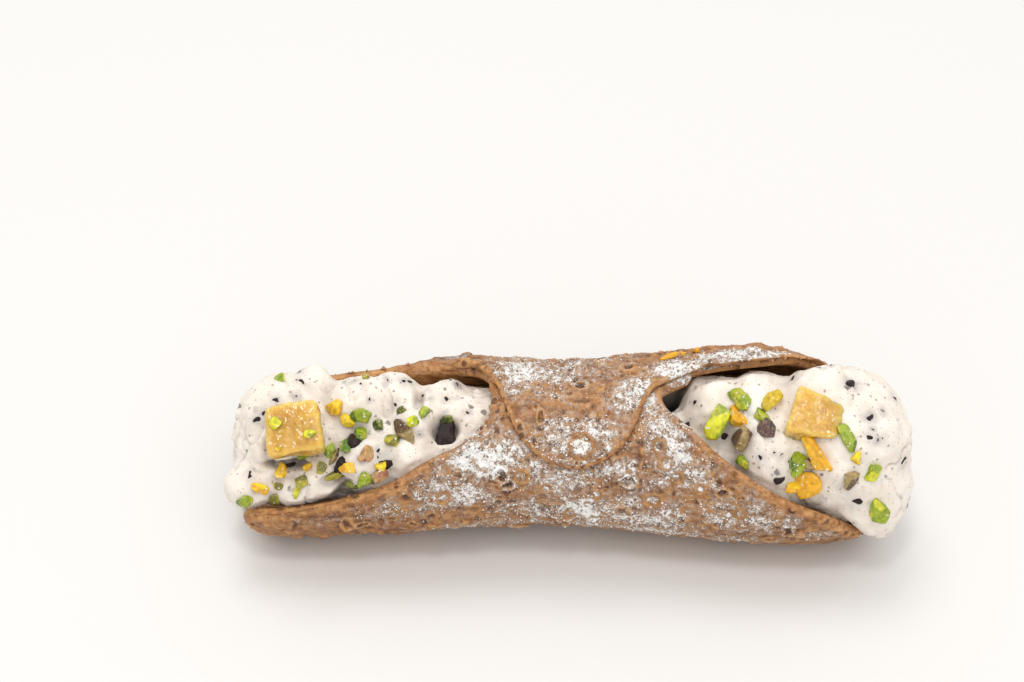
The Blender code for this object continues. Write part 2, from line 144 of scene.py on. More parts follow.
def makeMesh(name, points, faces, attributes=None, smooth=True):
    mesh = bpy.data.meshes.new(name)
    points = np.asarray(points, dtype=np.float32).reshape(-1, 3)
    faces = np.asarray(faces, dtype=np.int32)
    corners = faces.shape[1]
    mesh.vertices.add(len(points))
    mesh.vertices.foreach_set("co", points.ravel())
    mesh.loops.add(faces.size)
    mesh.loops.foreach_set("vertex_index", faces.ravel())
    mesh.polygons.add(len(faces))
    mesh.polygons.foreach_set("loop_start", np.arange(0, faces.size, corners, dtype=np.int32))
    mesh.polygons.foreach_set("use_smooth", np.full(len(faces), smooth))
    mesh.update(calc_edges=True)
    for key, values in (attributes or {}).items():
        values = np.asarray(values, dtype=np.float32)
        if values.ndim == 2:
            layer = mesh.attributes.new(key, "FLOAT_COLOR", "POINT")
            rgba = np.concatenate([values, np.ones((len(values), 1), np.float32)], axis=1)
            layer.data.foreach_set("color", rgba.ravel())
        else:
            layer = mesh.attributes.new(key, "FLOAT", "POINT")
            layer.data.foreach_set("value", values.ravel())
    piece = bpy.data.objects.new(name, mesh)
    bpy.context.scene.collection.objects.link(piece)
    return piece


# quads over a grid numbered row by row; a wrapped grid joins its last row to its first
def gridFaces(rows, columns, wrap=False, first=0):
    row = np.arange(rows if wrap else rows - 1)[:, None]
    column = np.arange(columns - 1)
    a = first + row * columns + column
    b = first + ((row + 1) % rows) * columns + column
    return np.stack([a, b, b + 1, a + 1], axis=-1).reshape(-1, 4)


# The relief of fried dough, drawn on a map of the unrolled sheet.
relief = {
    "pitch": 0.00022, "reach": 0.080, "warp": 0.00045, "seed": 21,
    # count, smallest and largest radius, height as a share of the radius
    "domes": (1500, 0.0005, 0.0016, 0.34),
    "wideDomes": (110, 0.0020, 0.0042, 0.15),
    "rings": (420, 0.0008, 0.0023, 0.30),
    "pits": (1300, 0.0002, 0.0006, 0.75),
    "wrinkle": 0.00016, "cavityReach": 5, "standUnit": 0.00015,
}


def drawRelief():
    draw = np.random.default_rng(relief["seed"])
    pitch = relief["pitch"]
    rows = int(2.0 * relief["reach"] / pitch)
    columns = int(2.0 * math.pi * tube["meanRadius"] / pitch)
    height = np.zeros((rows, columns))
    hollow = np.zeros((rows, columns))

    def stamp(count, low, high, share, profile, layer, join):
        for _ in range(count):
            radius = low + (high - low) * draw.uniform() ** 1.7
            stretch = draw.uniform(0.75, 1.3)
            middle = draw.uniform(0, rows), draw.uniform(0, columns)
            span = int(1.35 * radius / pitch) + 2
            down = np.arange(int(middle[0]) - span, int(middle[0]) + span + 1)
            across = np.arange(int(middle[1]) - span, int(middle[1]) + span + 1)
            down = down[(down >= 0) & (down < rows)]
            far = np.hypot((down[:, None] - middle[0]) / stretch, (across - middle[1]) * stretch)
            shape = profile(far * pitch / radius) * radius * share * draw.uniform(0.6, 1.2)
            place = np.ix_(down, across % columns)
            layer[place] = join(layer[place], shape)

    def dome(r):
        return np.clip(1.0 - r ** 2, 0.0, 1.0) ** 1.2

    def ring(r):
        return np.exp(-((r - 0.78) / 0.17) ** 2) - 0.60 * np.exp(-(r / 0.5) ** 4)

    stamp(*relief["wideDomes"], dome, height, np.add)
    small = np.zeros_like(height)
    stamp(*relief["domes"], dome, small, np.maximum)
    height += small
    stamp(*relief["rings"], ring, height, np.add)
    stamp(*relief["pits"], dome, hollow, np.maximum)
    x = np.arange(rows)[:, None] * pitch - relief["reach"]
    turn = np.arange(columns) * pitch / tube["meanRadius"]
    circle = tube["meanRadius"] * np.stack([np.sin(turn), np.cos(turn)], axis=-1)
    spot = np.concatenate([
        np.broadcast_to(x[:, None], (rows, columns, 1)), np.broadcast_to(circle, (rows, columns, 2))], -1)
    height += relief["wrinkle"] * (1.0 - 4.0 * np.abs(roughNoise(spot, 0.0016, 24, 3)))
    height -= hollow
    # how far each cell stands over the mean of its neighbourhood
    mean = height
    for axis in (0, 1):
        mean = sum(np.roll(mean, k, axis) for k in range(-relief["cavityReach"], relief["cavityReach"] + 1))
        mean = mean / (2 * relief["cavityReach"] + 1)
    return height, (height - mean) / relief["standUnit"]


reliefHeight, reliefStand = drawRelief()
print("relief map drawn", reliefHeight.shape)


# the map's value at places on the sheet, blended between its cells
def readRelief(layer, x, angle, seed=5):
    turn, radius = np.radians(angle), tube["meanRadius"]
    spot = np.stack(np.broadcast_arrays(x, np.sin(turn) * radius, np.cos(turn) * radius), axis=-1)
    warpX = relief["warp"] * latticeNoise(spot, 0.0011, seed)
    warpS = relief["warp"] * latticeNoise(spot, 0.0011, seed + 1)
    row = (x + warpX + relief["reach"]) / relief["pitch"]
    column = (np.radians(angle + 180.0) * tube["meanRadius"] + warpS) / relief["pitch"]
    row = np.clip(row, 0.0, layer.shape[0] - 1.001)
    r0 = np.floor(row).astype(int)
    c0 = np.floor(column).astype(int)
    fr, fc = row - r0, column - c0
    width = layer.shape[1]
    low = layer[r0, c0 % width] * (1.0 - fc) + layer[r0, (c0 + 1) % width] * fc
    high = layer[r0 + 1, c0 % width] * (1.0 - fc) + layer[r0 + 1, (c0 + 1) % width] * fc
    return low * (1.0 - fr) + high * fr


# height = sum over the large blisters of height * (1 - distance^2 / size^2)^2, and a slow wave
def largeRelief(x, angle):
    s = largeBlisters
    draw = np.random.default_rng(s["seed"])
    place = draw.uniform(-tube["tipReach"], tube["tipReach"], s["count"])
    turn = draw.uniform(-180.0, 180.0, s["count"])
    share = draw.uniform(0.0, 1.0, s["count"]) ** 1.6
    size = s["size"][0] + (s["size"][1] - s["size"][0]) * share
    height = draw.uniform(*s["height"], s["count"])
    total = np.zeros(np.broadcast(x, angle).shape)
    for at, about, reach, top in zip(place, turn, size, height):
        around = (angle - about + 180.0) % 360.0 - 180.0
        gap = ((x - at) ** 2 + (np.radians(around) * tube["waist"]) ** 2) / reach ** 2
        total = total + top * np.clip(1.0 - gap, 0.0, 1.0) ** 2
    return total + 0.00025 * np.sin(np.radians(3.0 * angle) + 60.0 * x)


def liftAt(x):
    return flap["lift"] * (1.0 - smoothStep(*flap["liftFade"], np.abs(x)))


def layerLift(x, angle):
    return liftAt(x) * smoothStep(-92.0, -56.0, angle) * (1.0 - smoothStep(-34.0, -8.0, angle))


# Powdered sugar: how thickly it lies at a place on the sheet, from 0 to 1.
dusting = {
    # place, angle, half-length, half-width in degrees, strength
    "patches": [
        (0.006, 40, 0.016, 20, 0.66), (0.004, 64, 0.026, 20, 0.64), (0.0255, 27, 0.0095, 36, 0.76),
        (0.030, 60, 0.014, 20, 0.66), (0.040, 92, 0.020, 20, 0.54), (0.012, 98, 0.030, 24, 0.70),
        (-0.0145, 50, 0.0125, 24, 0.80), (-0.020, 78, 0.013, 20, 0.68), (-0.032, 92, 0.014, 17, 0.50),
        (0.020, 12, 0.010, 16, 0.74), (0.042, -19, 0.016, 10, 0.80), (0.029, -7, 0.009, 12, 0.92),
        (-0.004, -14, 0.022, 30, 0.62), (0.058, 108, 0.014, 14, 0.32), (0.0, -75, 0.045, 34, 0.50),
        (-0.010, 118, 0.020, 12, 0.54), (0.024, 120, 0.030, 12, 0.60), (-0.058, 100, 0.012, 16, 0.14),
    ],
}


def dustAmount(x, angle):
    total = np.zeros(np.broadcast(x, angle).shape)
    for at, about, along, around, strength in dusting["patches"]:
        off = (angle - about + 180.0) % 360.0 - 180.0
        total = np.maximum(total, strength * np.exp(-((x - at) / along) ** 2 - (off / around) ** 2))
    below = smoothStep(128.0, 160.0, np.abs(angle))
    return total * (1.0 - below) + 0.04


# round blisters that stand out on the front: place, angle, radius, and what fills them
blisters = [
    (0.0238, 44, 0.0016, "dark"), (0.0224, 83, 0.0022, "sugar"), (0.0104, 81, 0.0014, "sugar"),
    (-0.0060, 67, 0.0018, "tan"), (-0.0231, 82, 0.0016, "tan"), (-0.0314, 81, 0.0013, "dark"),
    (-0.0399, 111, 0.0018, "dark"), (-0.0357, 96, 0.0011, "dark"), (-0.0342, 101, 0.0010, "dark"),
    (-0.0436, 97, 0.0013, "tan"), (0.0251, 56, 0.0018, "tan"), (0.0276, 65, 0.0015, "tan"),
    (-0.0139, 43, 0.0013, "dark"), (-0.0477, 103, 0.0012, "tan"), (-0.0009, 77, 0.0014, "tan"),
    (0.0326, 72, 0.0015, "sugar"), (-0.0520, 108, 0.0014, "tan"), (0.0412, 88, 0.0016, "tan"),
    (0.0160, 96, 0.0016, "dark"), (-0.0165, 96, 0.0017, "tan"), (0.0046, 103, 0.0015, "sugar"),
    (0.0500, 100, 0.0013, "dark"), (0.0345, 104, 0.0018, "tan"), (-0.0260, 100, 0.0014, "dark"),
]


# height, mark (1 on a ring, -1 in a dark middle) and sugar of the named blisters
def namedBlisters(x, angle):
    spot = toSpace(x, angle, tube["meanRadius"])
    wobble = 0.30 * roughNoise(spot, 0.0016, 57, 2)
    height, mark, sugar = np.zeros(x.shape), np.zeros(x.shape), np.zeros(x.shape)
    for at, about, radius, kind in blisters:
        far = np.hypot(x - at, np.radians(angle - about) * tube["meanRadius"]) / radius + wobble
        ring = np.exp(-((far - 0.86) / 0.20) ** 2)
        core = np.exp(-(far / 0.62) ** 4)
        height += radius * (0.17 * ring - (0.22 if kind == "dark" else 0.10) * core)
        mark += ring - (core if kind == "dark" else 0.0)
        sugar += core if kind == "sugar" else 0.0
    return height, np.clip(mark, -1.0, 1.0), np.clip(sugar, 0.0, 1.0)


# where sugar lies right up to the edge, on the band behind the right mouth
def sugaredBand(x, angle):
    along = smoothStep(0.022, 0.027, x) * (1.0 - smoothStep(0.046, 0.056, x))
    return along * smoothStep(-30.0, -16.0, angle) * (1.0 - smoothStep(4.0, 14.0, angle))


# the same on the front edges of both mouths, near the middle of the tube
def sugaredFront(x, angle):
    right = smoothStep(0.018, 0.024, x) * (1.0 - smoothStep(0.034, 0.046, x))
    left = smoothStep(-0.036, -0.026, x) * (1.0 - smoothStep(-0.014, -0.010, x))
    return 0.75 * (left + right) * smoothStep(10.0, 22.0, angle)


crust = {
    "columns": 336, "rows": 290, "edgeRows": 16, "edgeSpan": 0.0022, "ragged": 0.00032,
    "liningRows": 90, "grain": 0.00014, "lipRough": 0.00042, "calmSides": 0.45,
}


# angles round the tube, a share of them crowded on the top and the front
def crowdedAngles(count, low=-62.0, high=142.0, share=0.75):
    dense = np.linspace(low, high, int(share * count), endpoint=False)
    sparse = np.linspace(high, low + 360.0, count - len(dense), endpoint=False)
    return (np.concatenate([dense, sparse]) + 180.0) % 360.0 - 180.0


# distances across the sheet for each column, crowded at both edges
def crowdedRows(reach, count):
    near = np.linspace(0.0, 1.0, crust["edgeRows"]) ** 1.6 * crust["edgeSpan"]
    middle = np.linspace(0.0, 1.0, count - 2 * len(near) + 2)[1:-1]
    inner = near[-1] + (reach[:, None] - 2 * near[-1]) * middle
    start = np.broadcast_to(near, (len(reach), len(near)))
    return np.concatenate([start, inner, reach[:, None] - start[:, ::-1]], axis=1)


def raggedRims(angle, tuck=0.0):
    hidden = smoothStep(-62.0, -42.0, angle) * (1.0 - smoothStep(-16.0, -3.0, angle))
    at = angle + tuck * hidden
    ring = np.stack([np.zeros_like(angle), np.sin(np.radians(angle)), np.cos(np.radians(angle))], -1)
    ring = ring * tube["meanRadius"]
    left = -rimDistance("leftRim", at) + crust["ragged"] * (1.0 + roughNoise(ring, 0.004, 31))
    right = rimDistance("rightRim", at) - crust["ragged"] * (1.0 + roughNoise(ring + 0.5, 0.004, 35))
    return left, right


def rimLine():
    angle = np.arange(-210.0, 210.0, 0.4)
    left, right = raggedRims(angle, tube["tuck"])
    return np.concatenate([left, right]), np.concatenate([angle, angle])


def makeCrust():
    lineX, lineAngle = rimLine()
    wall = tube["wall"]

    def halfWall(x, turn):
        far = outlineDistance(x, turn, lineX, lineAngle)
        far[:, 0] = far[:, -1] = 0.0
        return 0.5 * wall * edgeRound(far, 0.5 * wall), far

    angle = crowdedAngles(crust["columns"])
    left, right = raggedRims(angle, tube["tuck"])
    x = left[:, None] + crowdedRows(right - left, crust["rows"])
    turn = np.broadcast_to(angle[:, None], x.shape)
    half, far = halfWall(x, turn)
    fade = smoothStep(0.0, 0.004, far)
    edgeFade = smoothStep(0.0, 0.0012, far)
    calm = 1.0 - smoothStep(145.0, 163.0, np.abs(turn))
    fine = readRelief(reliefHeight, x, turn)
    stand = readRelief(reliefStand, x, turn)
    bumps = largeRelief(x, turn) * calm * fade + fine * calm * (0.35 + 0.65 * edgeFade)
    # calmer at the sides of the flares
    sides = np.exp(-((np.abs(turn) - 90.0) / 16.0) ** 2) * smoothStep(0.035, 0.050, np.abs(x))
    bumps = bumps * (1.0 - crust["calmSides"] * sides)
    rings, mark, filled = namedBlisters(x, turn)
    bumps = bumps * (1.0 - 0.7 * np.clip(np.abs(mark) + filled, 0.0, 1.0)) + rings
    radius = wallRadius(x, turn) - 0.5 * wall + half + layerLift(x, turn) * fade + bumps
    points = toSpace(x, turn, radius)
    outward = (points - toSpace(x, turn, 0.0)) / radius[..., None]
    lip = 1.0 - smoothStep(0.0004, 0.0030, far)
    rough = crust["grain"] * roughNoise(points, 0.0009, 41)
    rough = rough + crust["lipRough"] * lip * roughNoise(points, 0.0014, 45, 3)
    points = points + rough[..., None] * outward
    points[..., 2] = np.maximum(points[..., 2], 0.0)
    band = sugaredBand(x, turn) + sugaredFront(x, turn)
    frayed = far + 0.0006 * roughNoise(points, 0.0020, 47, 2)
    rimMask = (1.0 - smoothStep(0.0005, 0.0024, frayed)) * (1.0 - 0.8 * band)
    dust = dustAmount(x, turn) * np.maximum(0.15 + 0.85 * smoothStep(0.0006, 0.0022, far), band)
    dust = np.maximum(dust * (1.0 - 0.55 * np.abs(mark)), 0.85 * filled)
    values = {"dust": dust.ravel(), "rim": rimMask.ravel(), "blister": mark.ravel(), "stand": stand.ravel()}
    outer = makeMesh("crust", points, gridFaces(crust["columns"], crust["rows"], True), values)

    x = left[:, None] + crowdedRows(right - left, crust["liningRows"])
    turn = np.broadcast_to(angle[:, None], x.shape)
    half, far = halfWall(x, turn)
    fine = readRelief(reliefHeight, -x, turn + 37.0) * smoothStep(0.0, 0.0015, far)
    radius = wallRadius(x, turn) - 0.5 * wall - half + 0.6 * np.minimum(fine, 0.0003)
    inner = toSpace(x, turn, radius)
    inner[:, 0], inner[:, -1] = points[:, 0], points[:, -1]
    # on the lining the lighter lip colour reaches 12 mm in from the edge: painted light on the inside wall
    values = {
        "dust": np.full(x.size, 0.02),
        "blister": np.zeros(x.size),
        "rim": (1.0 - smoothStep(0.0020, 0.0120, far)).ravel(),
        "stand": readRelief(reliefStand, -x, turn + 37.0).ravel(),
    }
    faces = gridFaces(crust["columns"], crust["liningRows"], True)[:, ::-1]
    lining = makeMesh("crust_lining", inner, faces, values)
    return outer, lining


# left and right outline of the outer corner: a half ellipse that flares out to the rims
def flapEdges(angle):
    over = np.clip(angle / flap["tip"], 0.0, 1.0)
    half = flap["halfWidth"] * np.sqrt(1.0 - over ** 2)
    flare = 1.0 - smoothStep(-4.0, 20.0, angle)
    rimLeft, rimRight = raggedRims(angle)
    left, right = flap["centre"] - half, flap["centre"] + half
    left = left + (rimLeft + flap["inset"] - left) * flare
    right = right + (rimRight - flap["inset"] - right) * flare
    return left, right


def makeFlap():
    fine = np.concatenate([np.linspace(flap["start"], 50.0, 300), np.linspace(50.2, flap["tip"], 80)])
    edgeLeft, edgeRight = flapEdges(fine)
    wobble = 0.00025 * latticeNoise(np.stack([fine * 0.0003, fine * 0.0, fine * 0.0], -1), 0.0016, 51)
    lineX = np.concatenate([edgeLeft + wobble, edgeRight - wobble])
    lineAngle = np.concatenate([fine, fine])
    share = np.sin(np.linspace(0.0, 0.5 * math.pi, flap["rows"]))
    angle = flap["start"] + (flap["tip"] - 0.02 - flap["start"]) * share
    left = np.interp(angle, fine, edgeLeft + wobble)
    right = np.interp(angle, fine, edgeRight - wobble)
    across = np.sin(np.linspace(-0.5 * math.pi, 0.5 * math.pi, flap["columns"]))
    middle, half = 0.5 * (left + right), 0.5 * (right - left)
    x = middle[:, None] + half[:, None] * across
    turn = np.broadcast_to(angle[:, None], x.shape)
    far = outlineDistance(x, turn, lineX, lineAngle)
    far[:, 0] = far[:, -1] = 0.0
    far[-1] = 0.0
    rise = edgeRound(far, flap["half"])
    sunk = 0.0014 * (1.0 - smoothStep(flap["start"], flap["start"] + 16.0, turn))
    base = wallRadius(x, turn) + largeRelief(x, turn)
    middleRadius = base + 0.5 * liftAt(x) + 0.0001 - sunk
    thick = np.maximum(0.5 * liftAt(x) - flap["gap"], 0.0002) * rise
    bumps = readRelief(reliefHeight, x + 0.031, turn + 71.0) * (0.3 + 0.7 * smoothStep(0.0, 0.0015, far))
    ringX, ringTurn, ringRadius, ringRise, ringSink = flap["ring"]
    ringAt = np.hypot(x - ringX, np.radians(turn - ringTurn) * tube["waist"]) / ringRadius
    ringAt = ringAt + 0.22 * roughNoise(toSpace(x, turn, tube["meanRadius"]), 0.0018, 53, 2)
    bumps = bumps * smoothStep(0.9, 1.5, ringAt)
    bumps = bumps + ringRise * np.exp(-((ringAt - 0.9) / 0.16) ** 2)
    bumps = bumps - ringSink * np.exp(-(ringAt / 0.75) ** 4)
    top = toSpace(x, turn, middleRadius + thick + bumps)
    under = toSpace(x, turn, middleRadius - thick)
    under[0], under[-1] = top[0], top[-1]
    under[:, 0], under[:, -1] = top[:, 0], top[:, -1]
    count = x.size
    faces = gridFaces(flap["rows"], flap["columns"])
    band = sugaredBand(x, turn)
    mark = 0.55 * np.exp(-((ringAt - 0.95) / 0.13) ** 2)
    dust = dustAmount(x, turn) * np.maximum(0.05 + 0.95 * smoothStep(0.0004, 0.0010, far), band)
    dust = dust * (1.0 - 0.9 * mark)
    rim = (1.0 - smoothStep(0.0003, 0.0011, far)) * (1.0 - 0.9 * band)
    dust = np.maximum(dust, 0.95 * np.exp(-(ringAt / 0.8) ** 4))
    values = {
        "dust": np.concatenate([dust.ravel(), np.zeros(count)]),
        "rim": np.tile(rim.ravel(), 2),
        "blister": np.tile(mark.ravel(), 2),
        "stand": np.tile(readRelief(reliefStand, x + 0.031, turn + 71.0).ravel(), 2),
    }
    points = np.concatenate([top.reshape(-1, 3), under.reshape(-1, 3)])
    return makeMesh("crust_flap", points, np.concatenate([faces, faces[:, ::-1] + count]), values)


crustOuter, crustLining = makeCrust()
print("crust built", len(crustOuter.data.vertices), len(crustLining.data.vertices))
crustFlap = makeFlap()
print("flap built", len(crustFlap.data.vertices))

cream = {
    "core": 0.0133, "blend": 0.0010, "softRoom": 0.0005, "smoothing": 8, "spine": (-0.058, 0.062),
    "gap": -0.0001, "margin": 0.0006, "slope": 2.6,
    # place, angle, distance of the centre from the axis, half-length, half-width
    "lobes": [
        (-0.0590, 8, 0.0095, 0.0100, 0.0100), (-0.0610, 40, 0.0030, 0.0085, 0.0135),
        (-0.0530, -34, 0.0135, 0.0045, 0.0045), (-0.0420, -3, 0.0120, 0.0070, 0.0065),
        (-0.0290, 17, 0.0110, 0.0050, 0.0060), (-0.0170, 8, 0.0085, 0.0060, 0.0060),
        (-0.0660, 89, 0.0125, 0.0060, 0.0055), (-0.0555, 92, 0.0135, 0.0050, 0.0045),
        (-0.0505, 75, 0.0140, 0.0050, 0.0050), (-0.0410, 59, 0.0130, 0.0065, 0.0055),
        (-0.0310, 60, 0.0115, 0.0050, 0.0055), (-0.0600, -60, 0.0070, 0.0075, 0.0085),
        (-0.0450, -50, 0.0070, 0.0080, 0.0080),
        (0.0265, 17, 0.0105, 0.0030, 0.0030), (0.0362, -6, 0.0112, 0.0072, 0.0080),
        (0.0445, 4, 0.0108, 0.0065, 0.0100), (0.0490, 45, 0.0040, 0.0100, 0.0160),
        (0.0645, 28, 0.0055, 0.0155, 0.0167), (0.0698, 114, 0.0088, 0.0105, 0.0136),
        (0.0600, 0, 0.0128, 0.0098, 0.0096),
        (-0.0395, 74, 0.0120, 0.0058, 0.0056), (-0.0300, 68, 0.0112, 0.0052, 0.0052),
        (-0.0350, -24, 0.0112, 0.0062, 0.0058), (-0.0235, -20, 0.0100, 0.0056, 0.0060),
    ],
    "lump": (0.0052, 0.00110, 71), "ripple": (0.0017, 0.00030, 75), "fine": (0.0006, 0.00010, 79),
    "fold": (0.0062, 0.00080, 83),
    # hollows between the lobes: place, angle, half-length, half-width in degrees, depth, darkness of the
    # painted shade in them
    "hollows": [
        (-0.0230, 30, 0.0029, 12, 0.0042, 0.0), (0.0240, -16, 0.0050, 24, 0.0085, 1.0),
        (-0.0395, -42, 0.0060, 14, 0.0014, 0.0), (0.0266, 5, 0.0008, 3, 0.0016, 0.9),
        (-0.0575, 62, 0.0060, 5, 0.0024, 0.5), (-0.0615, 52, 0.0016, 14, 0.0016, 0.3),
        (-0.0475, 72, 0.0026, 6, 0.0014, 0.3), (-0.0290, 0, 0.0014, 16, 0.0022, 0.2),
    ],
    "columns": 250, "rows": 250, "capRows": 60,
}


# distance from points on the axis to the cream: a soft greatest of its ellipsoid lobes
def creamReach(origin, direction):
    blend = cream["blend"]
    reaches = [np.full(direction.shape[:-1], cream["core"])]
    for place, angle, offset, along, across in cream["lobes"]:
        turn = math.radians(angle)
        centre = np.array([place, -offset * math.sin(turn), offset * math.cos(turn)])
        size = np.array([along, across, across])
        a = direction / size
        b = (origin - centre) / size
        aa, ab, bb = (a * a).sum(-1), (a * b).sum(-1), (b * b).sum(-1)
        inside = ab ** 2 - aa * (bb - 1.0)
        far = (-ab + np.sqrt(np.maximum(inside, 0.0))) / aa
        reaches.append(np.where(inside > 0.0, np.maximum(far, 0.0), 0.0))
    stack = np.stack(reaches)
    top = stack.max(axis=0)
    return top + blend * np.log(np.exp((stack - top) / blend).sum(axis=0))


# largest radius of the cream: up to the lining, and free past the edge of the sheet
def creamRoom(x, angle):
    left, right = -rimDistance("leftRim", angle), rimDistance("rightRim", angle)
    past = np.maximum(left - x, x - right)
    side = [rimDistance(s, angle + 1.0) - rimDistance(s, angle - 1.0) for s in ("leftRim", "rightRim")]
    steep = np.abs(np.where(x < 0, side[0], side[1])) / (2.0 * math.radians(1.0) * tube["waist"])
    past = past / np.sqrt(1.0 + steep ** 2)
    inside = wallRadius(x, angle) - tube["wall"] - cream["gap"]
    return inside + cream["slope"] * np.maximum(past - cream["margin"], 0.0)


def makeCream():
    angle = crowdedAngles(cream["columns"], -85.0, 140.0, 0.84)
    left, right = cream["spine"]
    along = np.concatenate([
        np.linspace(left, -0.012, int(0.49 * cream["rows"])),
        np.linspace(-0.010, 0.020, int(0.06 * cream["rows"])),
        np.linspace(0.0215, right, int(0.45 * cream["rows"])),
    ])
    fan = np.linspace(0.0, 0.5 * math.pi, cream["capRows"] + 1)[:-1]
    spine = np.concatenate([np.full(len(fan), left), along, np.full(len(fan), right)])[:, None]
    lean = np.concatenate([-0.5 * math.pi + fan, np.zeros(len(along)), 0.5 * math.pi - fan[::-1]])[:, None]
    turn = np.radians(angle)
    direction = np.stack(np.broadcast_arrays(
        np.sin(lean), -np.cos(lean) * np.sin(turn), np.cos(lean) * np.cos(turn)), axis=-1)
    origin = np.zeros_like(direction)
    origin[..., 0] = spine
    reach = creamReach(origin, direction)

    def within(reach, soft):
        for _ in range(3):
            x = spine + reach * np.sin(lean)
            radius = reach * np.cos(lean)
            room = creamRoom(x, np.broadcast_to(angle, x.shape))
            over = np.clip((radius - room) / soft, -30.0, 30.0)
            eased = room - soft * np.log1p(np.exp(-over))
            reach = reach * np.where(over > -4.0, eased / np.maximum(radius, 1e-9), 1.0)
        return reach

    reach = within(reach, cream["softRoom"])
    for _ in range(cream["smoothing"]):
        reach = 0.5 * reach + 0.25 * (np.roll(reach, 1, axis=1) + np.roll(reach, -1, axis=1))
        reach[1:-1] = 0.5 * reach[1:-1] + 0.25 * (reach[2:] + reach[:-2])
    spot = origin + direction * reach[..., None]
    for size, depth, seed in (cream["lump"], cream["ripple"], cream["fine"]):
        reach = reach + depth * roughNoise(spot, size, seed, 3)
    # folds: narrow creases where a smooth noise passes through zero
    size, depth, seed = cream["fold"]
    crease = np.clip(1.0 - np.abs(roughNoise(spot, size, seed, 2)) / 0.15, 0.0, 1.0)
    reach = reach - depth * crease ** 2 * smoothStep(-0.1, 0.5, latticeNoise(spot, 0.011, seed + 3))
    # painted shade in the hollows, darkest in their middles, by each hollow's darkness
    hollowShade = np.zeros(reach.shape)
    for place, angle0, along, around, depth, dark in cream["hollows"]:
        off = (np.degrees(turn) - angle0 + 180.0) % 360.0 - 180.0
        away = ((spine + reach * np.sin(lean) - place) / along) ** 2 + (off / around) ** 2
        away = away * (1.0 + 0.35 * roughNoise(spot, 0.0030, seed + 9, 2))
        reach = reach - depth * np.exp(-away ** 3)
        hollowShade = np.maximum(hollowShade, dark * (1.0 - smoothStep(0.45, 0.90, (1.15 - 0.55 * dark) * away)))
    reach = within(reach, 0.4 * cream["softRoom"])
    x = spine + reach * np.sin(lean)
    points = toSpace(x, np.broadcast_to(angle, x.shape), reach * np.cos(lean))
    points[..., 2] = np.maximum(points[..., 2], 0.0012)
    rows, columns = x.shape
    # each end row is one point on the axis, shared by its whole ring
    points[0], points[-1] = points[0].mean(axis=0), points[-1].mean(axis=0)
    row = np.arange(rows - 1)[:, None]
    column = np.arange(columns)
    a = row * columns + column
    b = row * columns + (column + 1) % columns
    faces = np.stack([a, b, b + columns, a + columns], axis=-1).reshape(-1, 4)
    # how far each point lies under the mean of its neighbourhood, for the painted shade in the creases and
    # dips
    mean = reach
    for _ in range(30):
        mean = 0.5 * mean + 0.25 * (np.roll(mean, 1, axis=1) + np.roll(mean, -1, axis=1))
        mean[1:-1] = 0.5 * mean[1:-1] + 0.25 * (mean[2:] + mean[:-2])
    sunk = smoothStep(0.00005, 0.0011, mean - reach)
    return makeMesh("cream_filling", points, faces, {
        "sunk": sunk.ravel(), "hollowShade": hollowShade.ravel(), "smudge": np.zeros(reach.size)})


creamPiece = makeCream()
print("cream built", len(creamPiece.data.vertices))


# places or normals of a piece's vertices
def vertexVectors(piece, key="co"):
    values = np.empty(len(piece.data.vertices) * 3, dtype=np.float32)
    piece.data.vertices.foreach_get(key, values)
    return values.reshape(-1, 3)


def surfaceTree(piece):
    corners = np.empty(len(piece.data.loops), dtype=np.int32)
    piece.data.loops.foreach_get("vertex_index", corners)
    return BVHTree.FromPolygons(vertexVectors(piece).tolist(), corners.reshape(-1, 4).tolist())


creamTree = surfaceTree(creamPiece)


# where a surface is met from outside at a place and an angle, and its direction there
def outermost(tree, x, angle):
    start = Vector(toSpace(x, angle, 0.045))
    middle = Vector(toSpace(x, angle, 0.0))
    hit, normal, _, _ = tree.ray_cast(start, (middle - start).normalized())
    return (np.array(hit), np.array(normal)) if hit else (None, None)


# lumps sunk into a surface, from rows of place, angle, length, width, turn:
# their middles, directions, sizes and turns
def seatLumps(tree, rows, sink, flatness):
    seats = []
    for x, angle, length, width, turn, *_ in rows:
        hit, normal = outermost(tree, x, angle)
        if hit is not None:
            middle = hit + normal * width * (0.5 - sink)
            seats.append((middle, normal, (length, width, flatness * width), turn))
    return [list(column) for column in zip(*seats)]


def unitSphere(divisions):
    work = bmesh.new()
    bmesh.ops.create_icosphere(work, subdivisions=divisions, radius=1.0)
    points = np.array([v.co[:] for v in work.verts])
    faces = np.array([[v.index for v in f.verts] for f in work.faces])
    work.free()
    return points, faces


